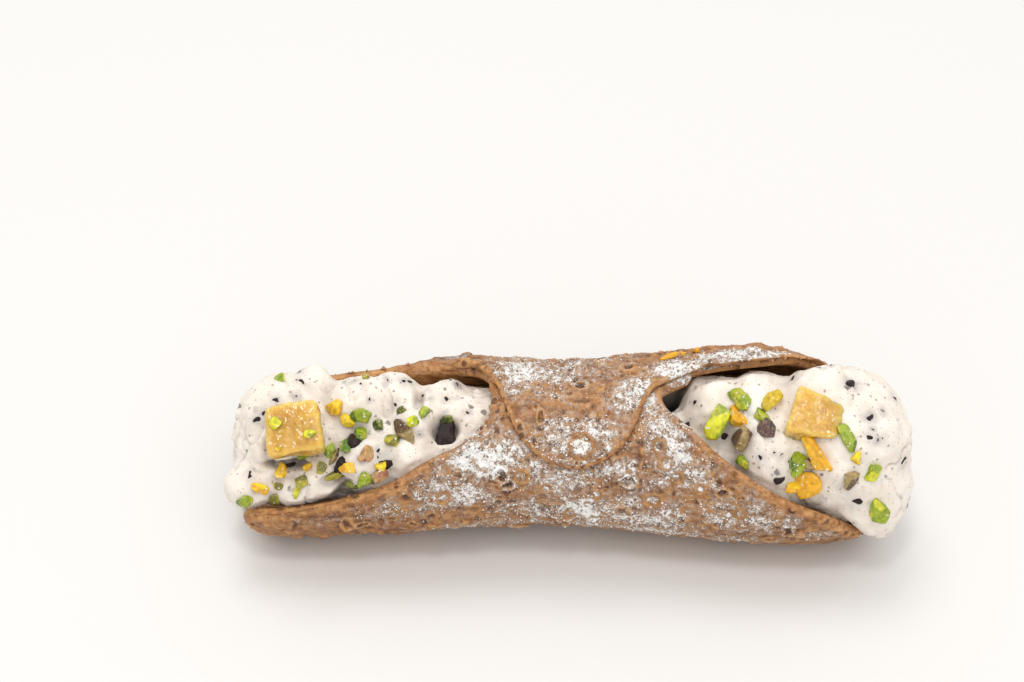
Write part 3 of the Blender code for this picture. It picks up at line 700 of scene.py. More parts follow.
# chopped lumps: radius along a direction = (sum over cuts of (direction . cut / depth)^p)^(-1/p)
def choppedLumps(centres, normals, sizes, turns, cuts, divisions, seed, sharp=26.0, rough=0.0):
    draw = np.random.default_rng(seed)
    sphere, faces = unitSphere(divisions)
    count = len(centres)
    cutNormals = draw.normal(size=(count, cuts, 3))
    cutNormals /= np.linalg.norm(cutNormals, axis=2, keepdims=True)
    depths = draw.uniform(0.48, 0.95, (count, cuts))
    facing = np.einsum("vk,nck->nvc", sphere, cutNormals) / depths[:, None, :]
    pull = np.clip(facing, 0.0, None)
    bound = (np.abs(sphere) ** 4).sum(axis=1) ** 0.25
    radius = ((pull ** sharp).sum(axis=2) + bound ** sharp) ** (-1.0 / sharp)
    face = facing.argmax(axis=2)
    local = sphere[None] * radius[..., None] * np.asarray(sizes)[:, None, :] * 0.58
    up = np.asarray(normals) / np.linalg.norm(normals, axis=1, keepdims=True)
    side = np.cross(np.array([0.0, 0.7, 0.7]), up)
    side /= np.linalg.norm(side, axis=1, keepdims=True)
    back = np.cross(up, side)
    turns = np.radians(turns)[:, None]
    long = np.cos(turns) * side + np.sin(turns) * back
    wide = -np.sin(turns) * side + np.cos(turns) * back
    axes = np.stack([long, wide, up], axis=1)
    offset = np.einsum("nvk,nkj->nvj", local, axes)
    points = offset + np.asarray(centres)[:, None, :]
    if rough:
        outward = offset / np.linalg.norm(offset, axis=2, keepdims=True)
        points = points + rough * outward * roughNoise(points, 0.0008, seed + 5, 3)[..., None]
    allFaces = faces[None] + (np.arange(count) * len(sphere))[:, None, None]
    return points.reshape(-1, 3), allFaces.reshape(-1, 3), face


orange = {
    "corners": {
        "candied_orange_left": (-0.0555, 35, 0.0188, 0.0064, [
            (-0.0066, 0.0048), (0.0049, 0.0067), (0.0070, -0.0047), (-0.0055, -0.0067)]),
        "candied_orange_right": (0.0571, 26, 0.0200, 0.0062, [
            (-0.0037, 0.0074), (0.0066, 0.0022), (0.0047, -0.0056), (-0.0070, -0.0042)]),
    },
    "cells": 60, "grain": 0.00030, "dent": 0.00095,
}


# a block: a cube's grid, pulled in at edges and corners by a superellipsoid, set on four corners
def makeBlock(name, place, seed):
    x, angle, distance, thickness, corners = place
    cells = orange["cells"]
    step = np.sin(np.linspace(-0.5 * math.pi, 0.5 * math.pi, cells + 1))
    u, v = np.meshgrid(step, step, indexing="ij")
    one = np.ones_like(u)
    sides = [(u, v, one), (v, u, -one), (one, u, v), (-one, v, u), (v, one, u), (u, -one, v)]
    cube = np.concatenate([np.stack(s, axis=-1).reshape(-1, 3) for s in sides])
    faces = np.concatenate([gridFaces(cells + 1, cells + 1, False, k * (cells + 1) ** 2) for k in range(6)])
    # near an edge the second largest of a cube point's coordinates comes close to 1
    edge = smoothStep(0.62, 1.0, np.sort(np.abs(cube), axis=1)[:, 1])
    power = 9.0
    cube = cube / (np.abs(cube) ** power).sum(axis=1, keepdims=True) ** (1.0 / power)
    a, b = 0.5 * (cube[:, 0:1] + 1.0), 0.5 * (cube[:, 1:2] + 1.0)
    c = np.array(corners)
    flat = (1 - a) * b * c[0] + a * b * c[1] + a * (1 - b) * c[2] + (1 - a) * (1 - b) * c[3]
    local = np.concatenate([flat, 0.5 * thickness * cube[:, 2:3]], axis=1)
    outward = cube / np.linalg.norm(cube, axis=1, keepdims=True)
    local = local - orange["dent"] * outward * np.abs(roughNoise(local, 0.0052, seed, 2))[:, None]
    local = local + orange["grain"] * outward * roughNoise(local, 0.0009, 91, 3)[:, None]
    lean = math.radians(angle)
    middle = toSpace(x, angle, distance)
    back = np.array([0.0, math.cos(lean), math.sin(lean)])
    out = np.array([0.0, -math.sin(lean), math.cos(lean)])
    points = middle + local[:, 0:1] * np.array([1.0, 0.0, 0.0]) + local[:, 1:2] * back + local[:, 2:3] * out
    piece = makeMesh(name, points, faces, {"edge": edge})
    work = bmesh.new()
    work.from_mesh(piece.data)
    bmesh.ops.remove_doubles(work, verts=work.verts, dist=1e-6)
    bmesh.ops.recalc_face_normals(work, faces=work.faces)
    work.to_mesh(piece.data)
    work.free()
    return piece


orangePieces = {
    name: makeBlock(name + "_looks", place, 100 + k)
    for k, (name, place) in enumerate(orange["corners"].items())}
print("candied orange built")

nuts = {
    "seed": {"left": 105, "right": 106}, "cuts": 9, "divisions": 4, "sink": 0.30, "sharp": 60.0,
    "rough": 0.00022,
    # place, angle, length, width, turn, kind
    "left": [
        (-0.0599, -6, 0.0037, 0.0022, 20, "lime"), (-0.0473, 11, 0.0043, 0.0032, -10, "amber"),
        (-0.0446, 23, 0.0032, 0.0026, -50, "yellow"), (-0.0413, 20, 0.0050, 0.0030, -20, "green"),
        (-0.0376, 26, 0.0030, 0.0024, 80, "dark"), (-0.0415, 37, 0.0036, 0.0024, 85, "green"),
        (-0.0448, 46, 0.0048, 0.0023, -45, "green"), (-0.0482, 50, 0.0043, 0.0026, 70, "lime"),
        (-0.0468, 55, 0.0037, 0.0018, 70, "skin"), (-0.0400, 51, 0.0039, 0.0030, 60, "rosy"),
        (-0.0340, 41, 0.0041, 0.0025, -5, "olive"), (-0.0317, 33, 0.0061, 0.0028, -35, "skin"),
        (-0.0298, 26, 0.0025, 0.0020, 30, "lime"), (-0.0275, 20, 0.0025, 0.0020, 60, "green"),
        (-0.0538, 55, 0.0026, 0.0017, 10, "green"), (-0.0325, 12, 0.0022, 0.0017, 20, "dark"),
        (-0.0407, -10, 0.0020, 0.0014, 0, "olive"), (-0.0229, 16, 0.0026, 0.0019, 20, "dark"),
        (-0.0367, 60, 0.0028, 0.0021, 0, "yellow"), (-0.0370, 66, 0.0032, 0.0026, 50, "rosy"),
        (-0.0467, 68, 0.0048, 0.0026, 10, "olive"), (-0.0400, 69, 0.0045, 0.0026, 75, "green"),
        (-0.0432, 75, 0.0039, 0.0026, 60, "dark"), (-0.0440, 60, 0.0039, 0.0021, -5, "amber"),
        (-0.0527, 64, 0.0030, 0.0018, 80, "amber"), (-0.0497, 62, 0.0024, 0.0019, 60, "olive"),
        (-0.0541, 73, 0.0035, 0.0021, 30, "olive"), (-0.0552, 82, 0.0024, 0.0016, 70, "lime"),
        (-0.0593, 79, 0.0022, 0.0017, 0, "olive"), (-0.0585, 68, 0.0037, 0.0024, 70, "amber"),
        (-0.0635, 80, 0.0035, 0.0021, -10, "amber"), (-0.0668, 88, 0.0037, 0.0024, 40, "green"),
        (-0.0604, 91, 0.0037, 0.0018, 80, "olive"),
    ],
    "right": [
        (0.0363, 21, 0.0091, 0.0043, 75, "lime"), (0.0397, 7, 0.0020, 0.0016, 0, "green"),
        (0.0407, 23, 0.0052, 0.0035, -55, "amber"), (0.0420, 15, 0.0069, 0.0032, -40, "green"),
        (0.0456, 25, 0.0035, 0.0024, -50, "green"), (0.0478, 15, 0.0048, 0.0037, 15, "yellow"),
        (0.0475, 34, 0.0043, 0.0035, -30, "plum"), (0.0419, 38, 0.0054, 0.0041, 45, "skin"),
        (0.0425, 57, 0.0033, 0.0025, -30, "green"), (0.0580, 48, 0.0087, 0.0037, -62, "amber"),
        (0.0561, 55, 0.0032, 0.0022, 0, "skin"), (0.0533, 55, 0.0056, 0.0030, 60, "green"),
        (0.0566, 70, 0.0058, 0.0048, 20, "amber"), (0.0525, 71, 0.0030, 0.0024, 0, "amber"),
        (0.0640, 40, 0.0061, 0.0026, -62, "green"), (0.0658, 50, 0.0030, 0.0024, -50, "yellow"),
        (0.0647, 62, 0.0043, 0.0032, 60, "skin"), (0.0694, 60, 0.0037, 0.0032, 10, "lime"),
        (0.0719, 86, 0.0048, 0.0039, 75, "lime"),
    ],
    # bits on the left block of orange: offset along and across its face, length, width, turn, kind
    "onOrange": [
        (-0.0038, 0.0006, 0.0027, 0.0022, -40, "lime"), (0.0041, -0.0012, 0.0030, 0.0016, 10, "lime"),
        (-0.0030, -0.0046, 0.0015, 0.0012, 0, "yellow"),
    ],
    # outer and cut-face colour of each kind, linear
    "colours": {
        "green": ((0.072, 0.155, 0.006), (0.25, 0.34, 0.008)),
        "lime": ((0.23, 0.34, 0.008), (0.62, 0.62, 0.012)),
        "yellow": ((0.58, 0.40, 0.010), (0.86, 0.62, 0.020)),
        "amber": ((0.74, 0.37, 0.006), (0.88, 0.54, 0.012)),
        "olive": ((0.16, 0.15, 0.020), (0.42, 0.36, 0.030)),
        # the dark kind is painted shade: a darker green for nuts that lie in shade
        "dark": ((0.042, 0.070, 0.010), (0.13, 0.17, 0.015)),
        "skin": ((0.10, 0.045, 0.030), (0.34, 0.24, 0.10)), "rosy": ((0.34, 0.13, 0.085), (0.50, 0.28, 0.12)),
        "plum": ((0.045, 0.022, 0.030), (0.12, 0.06, 0.06)),
    },
}


def makeNuts(side):
    centres, normals, sizes, turns = seatLumps(creamTree, nuts[side], nuts["sink"], 0.75)
    kinds = [row[-1] for row in nuts[side]]
    if side == "left":
        x, angle, distance, thickness, _ = orange["corners"]["candied_orange_left"]
        lean = math.radians(angle)
        out = np.array([0.0, -math.sin(lean), math.cos(lean)])
        back = np.array([0.0, math.cos(lean), math.sin(lean)])
        for u, v, length, width, turn, kind in nuts["onOrange"]:
            top = toSpace(x, angle, distance) + u * np.array([1.0, 0.0, 0.0]) + v * back
            centres.append(top + out * (0.5 * thickness + 0.10 * width))
            normals.append(out)
            sizes.append((length, width, 0.7 * width))
            turns.append(turn)
            kinds.append(kind)
    points, faces, face = choppedLumps(
        centres, normals, sizes, turns, nuts["cuts"], nuts["divisions"], nuts["seed"][side],
        nuts["sharp"], nuts["rough"])
    # the first four cuts keep the nut's skin, and the others show its inside
    streak = latticeNoise(points, 0.0011, 113).reshape(face.shape)
    skin = smoothStep(0.35, 0.65, (face < 4) + 0.55 * streak)[..., None]
    outer, inner = [np.array([nuts["colours"][k][i] for k in kinds])[:, None, :] for i in (0, 1)]
    shade = 1.0 + 0.40 * latticeNoise(points, 0.0006, 111).reshape(face.shape)[..., None]
    tint = (outer * skin + inner * (1.0 - skin)) * shade
    # the greens turn yellower and paler in places
    ripe = np.clip(latticeNoise(points, 0.0014, 117).reshape(face.shape), 0.0, 1.0)[..., None]
    tint = tint * (1.0 + ripe * np.array([1.1, 0.25, 0.5]) * (tint[..., 1:2] > tint[..., 0:1]))
    return makeMesh("pistachio_" + side, points, faces, {"tint": tint.reshape(-1, 3)})


nutPieces = [makeNuts(side) for side in ("left", "right")]
print("pistachios built")

chips = {
    "seed": 131, "cuts": 7, "divisions": 3, "sink": 0.80, "count": 130,
    "size": (0.0006, 0.0020),
    # a dark wedge in the left mouth, given like a block of orange: painted shade of a deep hollow, made as a
    # piece of dark chocolate
    "wedge": (-0.0230, 28, 0.0105, 0.0040, [
        (-0.0002, 0.0046), (0.0018, 0.0050), (0.0025, -0.0034), (-0.0028, -0.0042)]),
    # places where a large piece shows: place, angle, length, width, turn
    "large": [
        (-0.0440, 41, 0.0056, 0.0042, 10), (-0.0600, 14, 0.0017, 0.0015, 0), (-0.0558, 10, 0.0014, 0.0014, 0),
        (-0.0640, 27, 0.0018, 0.0015, 0), (-0.0460, 64, 0.0048, 0.0036, 30),
        (-0.0570, 66, 0.0038, 0.0024, 60), (-0.0355, 57, 0.0036, 0.0030, 40),
        (0.0656, 6, 0.0030, 0.0026, 20), (0.0665, 80, 0.0028, 0.0020, 30),
        (0.0772, 57, 0.0022, 0.0014, 70), (0.0500, 66, 0.0026, 0.0016, 20), (0.0378, 36, 0.0026, 0.0014, 60),
        (0.0690, 26, 0.0016, 0.0012, 40), (0.0685, 38, 0.0020, 0.0015, 0), (0.0266, 3, 0.0012, 0.0012, 0),
    ],
}


# the rows of large pieces, and small ones at random where the cream is open to the air
def makeChips():
    draw = np.random.default_rng(chips["seed"])
    rows = list(chips["large"])
    low, high = chips["size"]
    while len(rows) < chips["count"]:
        left = draw.uniform() < 0.5
        x = draw.uniform(-0.070, -0.016) if left else draw.uniform(0.028, 0.077)
        length = low + (high - low) * draw.uniform() ** 2.5
        angle, width = draw.uniform(-60, 120), length * draw.uniform(0.5, 0.9)
        rows.append((x, angle, length, width, draw.uniform(0, 180)))

    def clearOfRim(x, angle, length):
        return abs(x) >= rimDistance("leftRim" if x < 0 else "rightRim", angle) + 0.5 * length

    rows = [row for row in rows if clearOfRim(*row[:3])]
    centres, normals, sizes, turns = seatLumps(creamTree, rows, chips["sink"], 0.8)
    points, faces, _ = choppedLumps(
        centres, normals, sizes, turns, chips["cuts"], chips["divisions"], chips["seed"] + 1)
    smudgeCream(np.array(centres), np.array(sizes)[:, 0], draw)
    return makeMesh("chocolate_chips", points, faces)


# a grey halo in the cream round each piece: strength * exp(-(distance / reach)^2), greatest of all
def smudgeCream(centres, lengths, draw):
    points = vertexVectors(creamPiece)
    points = points + 0.0004 * latticeNoise(points, 0.0009, 137)[:, None]
    smudge = np.zeros(len(points))
    for centre, length in zip(centres, lengths):
        far = ((points - centre) ** 2).sum(axis=1) / (0.75 * length + 0.0006) ** 2
        smudge = np.maximum(smudge, draw.uniform(0.35, 1.0) * np.exp(-far))
    creamPiece.data.attributes["smudge"].data.foreach_set("value", smudge.astype(np.float32))


chipPiece = makeChips()
# painted shade: a dark chocolate block standing for the shade in a deep hollow
wedgePiece = makeBlock("hollow_shade_wedge", chips["wedge"], 139)
print("chocolate built", len(chipPiece.data.vertices))

# small bits of candied orange on the crust: place, angle, length, width, turn
orangeBits = [
    (0.0262, -23, 0.0042, 0.0016, 20), (0.0292, -24, 0.0016, 0.0013, 0), (0.0322, -27, 0.0022, 0.0016, 40)]


def makeOrangeBits():
    points, faces, _ = choppedLumps(*seatLumps(surfaceTree(crustFlap), orangeBits, 0.35, 0.7), 6, 3, 141)
    return makeMesh("orange_bits", points, faces)


bitPiece = makeOrangeBits()
grains = {"seed": 151, "count": 9000, "size": (0.00012, 0.00038), "lift": 0.2}
crumbs = {"seed": 161, "count": 300, "size": (0.0003, 0.0009), "lift": 0.2}


# a value that each vertex of a piece carries
def vertexShare(piece, key):
    values = np.empty(len(piece.data.vertices), dtype=np.float32)
    piece.data.attributes[key].data.foreach_get("value", values)
    return values


# area that each vertex of a grid stands for, so that fine rows aren't favoured
def vertexArea(piece):
    mesh = piece.data
    area = np.empty(len(mesh.polygons), dtype=np.float32)
    mesh.polygons.foreach_get("area", area)
    corners = np.empty(len(mesh.loops), dtype=np.int32)
    mesh.loops.foreach_get("vertex_index", corners)
    return np.bincount(corners, np.repeat(area, 4), len(mesh.vertices))


def scatterOnCrust(settings, weigh, name):
    draw = np.random.default_rng(settings["seed"])
    points, normals, weights = [], [], []
    for piece in (crustOuter, crustFlap):
        spots = vertexVectors(piece)
        points.append(spots)
        normals.append(vertexVectors(piece, "normal"))
        weights.append(weigh(piece) * vertexArea(piece) * (spots[:, 2] > 0.003))
    points, normals = np.concatenate(points), np.concatenate(normals)
    weights = np.concatenate(weights)
    patchy = np.clip(0.5 + 1.6 * roughNoise(points, 0.0022, 171), 0.0, None)
    weights = weights * patchy
    chosen = draw.choice(len(points), settings["count"], p=weights / weights.sum())
    low, high = settings["size"]
    size = low + (high - low) * draw.uniform(size=len(chosen)) ** 2
    sizes = size[:, None] * draw.uniform(0.6, 1.3, (len(chosen), 3))
    jitter = draw.normal(scale=0.00012, size=(len(chosen), 3))
    centres = points[chosen] + jitter + normals[chosen] * (size * settings["lift"])[:, None]
    turns = draw.uniform(0, 180, len(chosen))
    lumps, faces, _ = choppedLumps(centres, normals[chosen] + 1e-4, sizes, turns, 5, 1, settings["seed"])
    return makeMesh(name, lumps, faces, smooth=False)


# grains lie where the sugar is thick, and crumbs along the rims
grainPiece = scatterOnCrust(
    grains, lambda piece: np.clip(vertexShare(piece, "dust") - 0.2, 0.0, None) ** 1.5, "sugar_grains")
crumbPiece = scatterOnCrust(crumbs, lambda piece: vertexShare(piece, "rim") ** 2, "pastry_crumbs")
print("sugar and crumbs scattered", len(grainPiece.data.vertices), len(crumbPiece.data.vertices))


# a node tree and short ways to add to it; most give back what the next node reads
class Net:
    def __init__(self, tree):
        self.tree = tree

    def feed(self, socket, value):
        if isinstance(value, bpy.types.NodeSocket):
            self.tree.links.new(value, socket)
        else:
            socket.default_value = (*value, 1.0) if socket.type == "RGBA" else value

    def node(self, kind, values=None, **settings):
        made = self.tree.nodes.new("ShaderNode" + kind)
        for key, value in settings.items():
            setattr(made, key, value)
        for key, value in (values or {}).items():
            self.feed(made.inputs[key], value)
        return made

    def math(self, operation, a, b=0.0, clamp=False):
        return self.node("Math", {0: a, 1: b}, operation=operation, use_clamp=clamp).outputs[0]

    def times(self, a, b):
        return self.math("MULTIPLY", a, b)

    def plus(self, a, b):
        return self.math("ADD", a, b)

    # a value eased from one range to another
    def eased(self, value, fromLow, fromHigh, low=0.0, high=1.0):
        values = {"Value": value, "From Min": fromLow, "From Max": fromHigh, "To Min": low, "To Max": high}
        return self.node("MapRange", values, interpolation_type="SMOOTHSTEP").outputs["Result"]

    def mix(self, share, a, b):
        return self.node("Mix", {0: share, 6: a, 7: b}, data_type="RGBA").outputs[2]

    def where(self):
        return self.node("TexCoord").outputs["Object"]

    def attribute(self, name, output="Fac"):
        return self.node("Attribute", attribute_name=name).outputs[output]

    def noise(self, where, scale, detail=4.0, rough=0.55, distortion=0.0, output="Fac"):
        values = {
            "Vector": where, "Scale": scale, "Detail": detail, "Roughness": rough, "Distortion": distortion}
        return self.node("TexNoise", values).outputs[output]

    # a cell pattern bent by a noise: distance from a cell's middle, and random numbers for each cell
    def cells(self, where, bend, amount, scale, shift=0.0):
        bent = self.node("VectorMath", {0: bend, 1: (amount,) * 3, 2: where}, operation="MULTIPLY_ADD")
        moved = self.node("VectorMath", {0: bent.outputs[0], 1: (shift, shift, 0.0)}, operation="ADD")
        pattern = self.node("TexVoronoi", {"Vector": moved.outputs[0], "Scale": scale})
        random = self.node("SeparateColor", {0: pattern.outputs["Color"]})
        return pattern.outputs["Distance"], random.outputs

    def bump(self, shader, height, strength, distance):
        made = self.node("Bump", {"Strength": strength, "Distance": distance, "Height": height})
        self.feed(shader.inputs["Normal"], made.outputs["Normal"])


def newMaterial(name, values):
    made = bpy.data.materials.new(name)
    made.use_nodes = True
    net, shader = Net(made.node_tree), made.node_tree.nodes["Principled BSDF"]
    for key, value in values.items():
        net.feed(shader.inputs[key], value)
    return made, net, shader


def newGroup(name, inputs, outputs):
    tree = bpy.data.node_groups.new(name, "ShaderNodeTree")
    for key in inputs:
        tree.interface.new_socket(key, in_out="INPUT", socket_type="NodeSocketFloat")
    for key in outputs:
        kind = "NodeSocketColor" if key == "Color" else "NodeSocketFloat"
        tree.interface.new_socket(key, in_out="OUTPUT", socket_type=kind)
    return Net(tree), tree.nodes.new("NodeGroupInput").outputs, tree.nodes.new("NodeGroupOutput").inputs


# powdered sugar: clumps where noise at three sizes passes a level set by the amount
def sugarGroup():
    net, given, result = newGroup("sugarDusting", ("Amount", "Stand"), ("Mask", "Veil", "Hole", "Height"))
    where = net.where()
    patch = net.noise(where, 170.0, 3.0, 0.6, 0.4)
    clump = net.noise(where, 820.0, 4.0, 0.70, 0.3)
    speck = net.noise(where, 2400.0, 3.0, 0.65)
    total = net.plus(net.times(patch, 0.38), net.times(clump, 0.52))
    for value, weight in ((speck, 0.22), (given["Stand"], 0.022), (given["Amount"], 0.30)):
        total = net.plus(total, net.times(value, weight))
    hole = net.eased(net.noise(where, 1250.0, 3.0, 0.55, 0.2), 0.555, 0.640)
    mask = net.times(net.eased(total, 0.736, 0.812), net.math("SUBTRACT", 1.0, net.times(hole, 0.92)))
    net.feed(result["Mask"], mask)
    net.feed(result["Veil"], net.eased(total, 0.605, 0.785, 0.0, 0.80))
    net.feed(result["Hole"], net.times(hole, net.eased(total, 0.62, 0.74)))
    net.feed(result["Height"], net.times(mask, clump))
    return net.tree


# ring blisters: in a random share of the cells of a bent cell pattern, a ring and what it encloses
def ringBlisters(net, where, scale, share, shift):
    bend = net.noise(where, 1.4 * scale, 2.0, 0.5, output="Color")
    distance, random = net.cells(where, bend, 0.42 / scale, scale, shift)
    far = net.math("DIVIDE", distance, net.plus(net.times(random[1], 0.55), 0.60))
    chosen = net.math("LESS_THAN", random[0], share)
    ring = net.times(net.eased(far, 0.20, 0.29), net.eased(far, 0.46, 0.33))
    return net.times(ring, chosen), net.times(net.eased(far, 0.29, 0.17), chosen)


# browns of the dough, linear; crease is the painted shade of the creases
browns = {
    "dark": (0.128, 0.044, 0.016), "middle": (0.322, 0.142, 0.050), "light": (0.540, 0.275, 0.102),
    "golden": (0.60, 0.305, 0.095), "lipDark": (0.40, 0.170, 0.055), "lipLight": (0.63, 0.335, 0.130),
    "crease": (0.070, 0.026, 0.013), "speckle": (0.58, 0.37, 0.19), "inRing": (0.390, 0.185, 0.065),
    "burnt": (0.120, 0.050, 0.024), "hollow": (0.095, 0.040, 0.022), "ring": (0.600, 0.330, 0.125),
}


# fried dough: noise at three sizes, lighter on ridges, with painted shade darkening the creases
def doughGroup():
    net, given, result = newGroup(
        "friedDough", ("Stand", "Rim", "Blister"), ("Color", "Height", "Roughness", "Ring"))
    where, stand = net.where(), given["Stand"]
    broad = net.noise(where, 60.0, 3.0)
    middle = net.noise(where, 360.0, 5.0, 0.62, 0.5)
    fine = net.noise(where, 1500.0, 4.0, 0.65)
    tone = net.plus(net.times(broad, 0.40), net.times(middle, 0.60))
    ramp = net.node("ValToRGB", {"Fac": net.plus(tone, net.times(stand, 0.055))})
    stops = ramp.color_ramp.elements
    stops[0].position, stops[0].color = 0.36, (*browns["dark"], 1.0)
    stops[1].position, stops[1].color = 0.70, (*browns["light"], 1.0)
    stops.new(0.52).color = (*browns["middle"], 1.0)
    wideRing, wideInside = ringBlisters(net, where, 330.0, 0.34, 0.0)
    smallRing, smallInside = ringBlisters(net, where, 720.0, 0.30, 0.37)
    ring = net.math("MAXIMUM", net.math("MAXIMUM", wideRing, smallRing), given["Blister"])
    lip = net.mix(net.eased(middle, 0.38, 0.62), browns["lipDark"], browns["lipLight"])
    colour = ramp.outputs["Color"]
    # one tone laid over the other: how much of it, and which
    for share, laid in (
        (net.eased(stand, 0.3, 1.6, 0.0, 0.55), browns["golden"]),
        # the lighter lip at the edges, which on the lining is also painted light on the inside wall
        (net.times(given["Rim"], 0.72), lip),
        # painted shade: darker where the relief lies below its neighbourhood
        (net.eased(stand, -0.3, -1.8, 0.0, 0.75), browns["crease"]),
        (net.eased(fine, 0.58, 0.72, 0.0, 0.40), browns["speckle"]),
        (net.times(wideInside, 0.55), browns["inRing"]),
        (net.times(smallInside, 0.70), browns["burnt"]),
        (net.math("MULTIPLY", given["Blister"], -0.80, True), browns["hollow"]),
        (net.times(ring, 0.45), browns["ring"]),
    ):
        colour = net.mix(share, colour, laid)
    height = net.plus(net.times(middle, 0.6), net.times(fine, 0.4))
    height = net.plus(height, net.times(ring, 1.1))
    net.feed(result["Color"], colour)
    net.feed(result["Ring"], ring)
    net.feed(result["Height"], net.math("SUBTRACT", height, net.times(smallInside, 0.6)))
    net.feed(result["Roughness"], net.eased(middle, 0.3, 0.7, 0.36, 0.60))
    return net.tree


groups = {"sugar": sugarGroup(), "dough": doughGroup()}


def crustMaterial():
    made, net, shader = newMaterial("fried_crust", {"Specular IOR Level": 0.35})
    stand = net.attribute("stand")
    given = {"Stand": stand, "Rim": net.attribute("rim"), "Blister": net.attribute("blister")}
    dough = net.node("Group", given, node_tree=groups["dough"]).outputs
    amount = net.math("SUBTRACT", net.attribute("dust"), net.times(dough["Ring"], 0.22))
    sugar = net.node("Group", {"Amount": amount, "Stand": stand}, node_tree=groups["sugar"]).outputs
    colour = net.mix(sugar["Veil"], dough["Color"], (0.455, 0.370, 0.305))
    colour = net.mix(net.times(sugar["Hole"], 0.85), colour, (0.095, 0.044, 0.025))
    net.feed(shader.inputs["Base Color"], net.mix(sugar["Mask"], colour, (0.86, 0.845, 0.825)))
    rough = net.math("MAXIMUM", dough["Roughness"], net.times(sugar["Mask"], 0.85))
    net.feed(shader.inputs["Roughness"], rough)
    net.bump(shader, net.plus(net.times(dough["Height"], 0.5), sugar["Height"]), 0.55, 0.0004)
    return made


def creamMaterial():
    made, net, shader = newMaterial("ricotta_cream", {
        "Subsurface Weight": 0.35, "Subsurface Radius": (1.0, 0.75, 0.55), "Subsurface Scale": 0.0022,
        "Specular IOR Level": 0.45})
    where = net.where()
    bend = net.noise(where, 900.0, 3.0, 0.5, output="Color")
    cloud = net.noise(where, 130.0, 4.0)
    colour = net.mix(net.eased(cloud, 0.35, 0.65), (0.80, 0.725, 0.64), (0.865, 0.805, 0.73))
    # chocolate dust, the insides of random cells:
    # cells to a metre, size, share of cells, shift, strength, tone
    for scale, size, share, shift, strength, tone in (
        (250.0, 0.36, 0.14, 0.3, 0.38, (0.33, 0.29, 0.29)),
        (330.0, 0.30, 0.09, 0.9, 0.80, (0.10, 0.075, 0.075)),
        (800.0, 0.34, 0.18, 0.7, 0.70, (0.24, 0.16, 0.12)),
        (1700.0, 0.36, 0.14, 1.3, 0.6, (0.36, 0.22, 0.13)),
    ):
        distance, random = net.cells(where, bend, 0.5 / scale, scale, shift)
        speck = net.times(net.eased(distance, size, size * 0.55), net.math("LESS_THAN", random[0], share))
        colour = net.mix(net.times(speck, strength), colour, tone)
    # painted shade: darker where the cream lies under its neighbourhood
    colour = net.mix(net.times(net.attribute("sunk"), 0.50), colour, (0.42, 0.33, 0.27))
    halo = net.times(net.attribute("smudge"), net.eased(cloud, 0.30, 0.62, 0.35, 0.75))
    colour = net.mix(halo, colour, (0.20, 0.175, 0.18))
    # painted shade: near black in the middles of the hollows
    hollowShade = net.attribute("hollowShade")
    net.feed(shader.inputs["Base Color"], net.mix(net.times(hollowShade, 0.97), colour, (0.020, 0.014, 0.015)))
    # the painted shade in the middles of the hollows doesn't shine
    net.feed(shader.inputs["Roughness"], net.eased(hollowShade, 0.0, 0.9, 0.42, 1.0))
    net.bump(shader, net.noise(where, 900.0, 5.0, 0.55), 0.30, 0.0003)
    return made


def orangeMaterial():
    made, net, shader = newMaterial("candied_peel", {
        "Roughness": 0.16, "IOR": 1.5, "Subsurface Weight": 1.0, "Subsurface Radius": (1.0, 0.70, 0.20),
        "Subsurface Scale": 0.0055, "Coat Weight": 0.8, "Coat Roughness": 0.08})
    where = net.where()
    cloud = net.noise(where, 220.0, 5.0, 0.6, 0.6)
    colour = net.mix(net.eased(cloud, 0.35, 0.68), (0.56, 0.292, 0.012), (0.70, 0.418, 0.036))
    # painted light: the edges lighter, as light shining through the thin peel
    colour = net.mix(net.times(net.attribute("edge"), 0.42), colour, (0.84, 0.600, 0.150))
    # sugar crystals with painted glints: bright middles of a random share of small cells
    bend = net.noise(where, 1400.0, 3.0, 0.5, output="Color")
    distance, random = net.cells(where, bend, 0.0013, 950.0)
    glint = net.times(net.eased(distance, 0.46, 0.18), net.math("LESS_THAN", random[0], 0.20))
    net.feed(shader.inputs["Base Color"], net.mix(net.times(glint, 0.70), colour, (0.93, 0.82, 0.55)))
    wave = net.noise(where, 420.0, 3.0, 0.55, 0.8)
    grain = net.noise(where, 1000.0, 5.0, 0.65)
    height = net.plus(net.times(wave, 1.6), net.times(grain, 0.6))
    net.bump(shader, net.plus(height, net.times(glint, 0.5)), 0.75, 0.0006)
    return made


def nutMaterial():
    made, net, shader = newMaterial("pistachio_flesh", {
        "Roughness": 0.38, "Subsurface Weight": 0.12, "Subsurface Scale": 0.001})
    where = net.where()
    grain = net.noise(where, 1800.0, 4.0, 0.6)
    tint = net.attribute("tint", "Color")
    colour = net.mix(net.eased(grain, 0.45, 0.75, 0.0, 0.25), tint, (0.85, 0.80, 0.25))
    # a few specks of powdered sugar
    speck = net.eased(net.noise(where, 1300.0, 2.0, 0.5), 0.655, 0.70, 0.0, 0.75)
    net.feed(shader.inputs["Base Color"], net.mix(speck, colour, (0.92, 0.90, 0.86)))
    net.bump(shader, grain, 0.4, 0.0003)
    return made


def plainMaterial(name, colour, roughness, subsurface=0.0, specular=0.5):
    return newMaterial(name, {
        "Base Color": colour, "Roughness": roughness, "Subsurface Weight": subsurface,
        "Subsurface Scale": 0.0006, "Specular IOR Level": specular})[0]


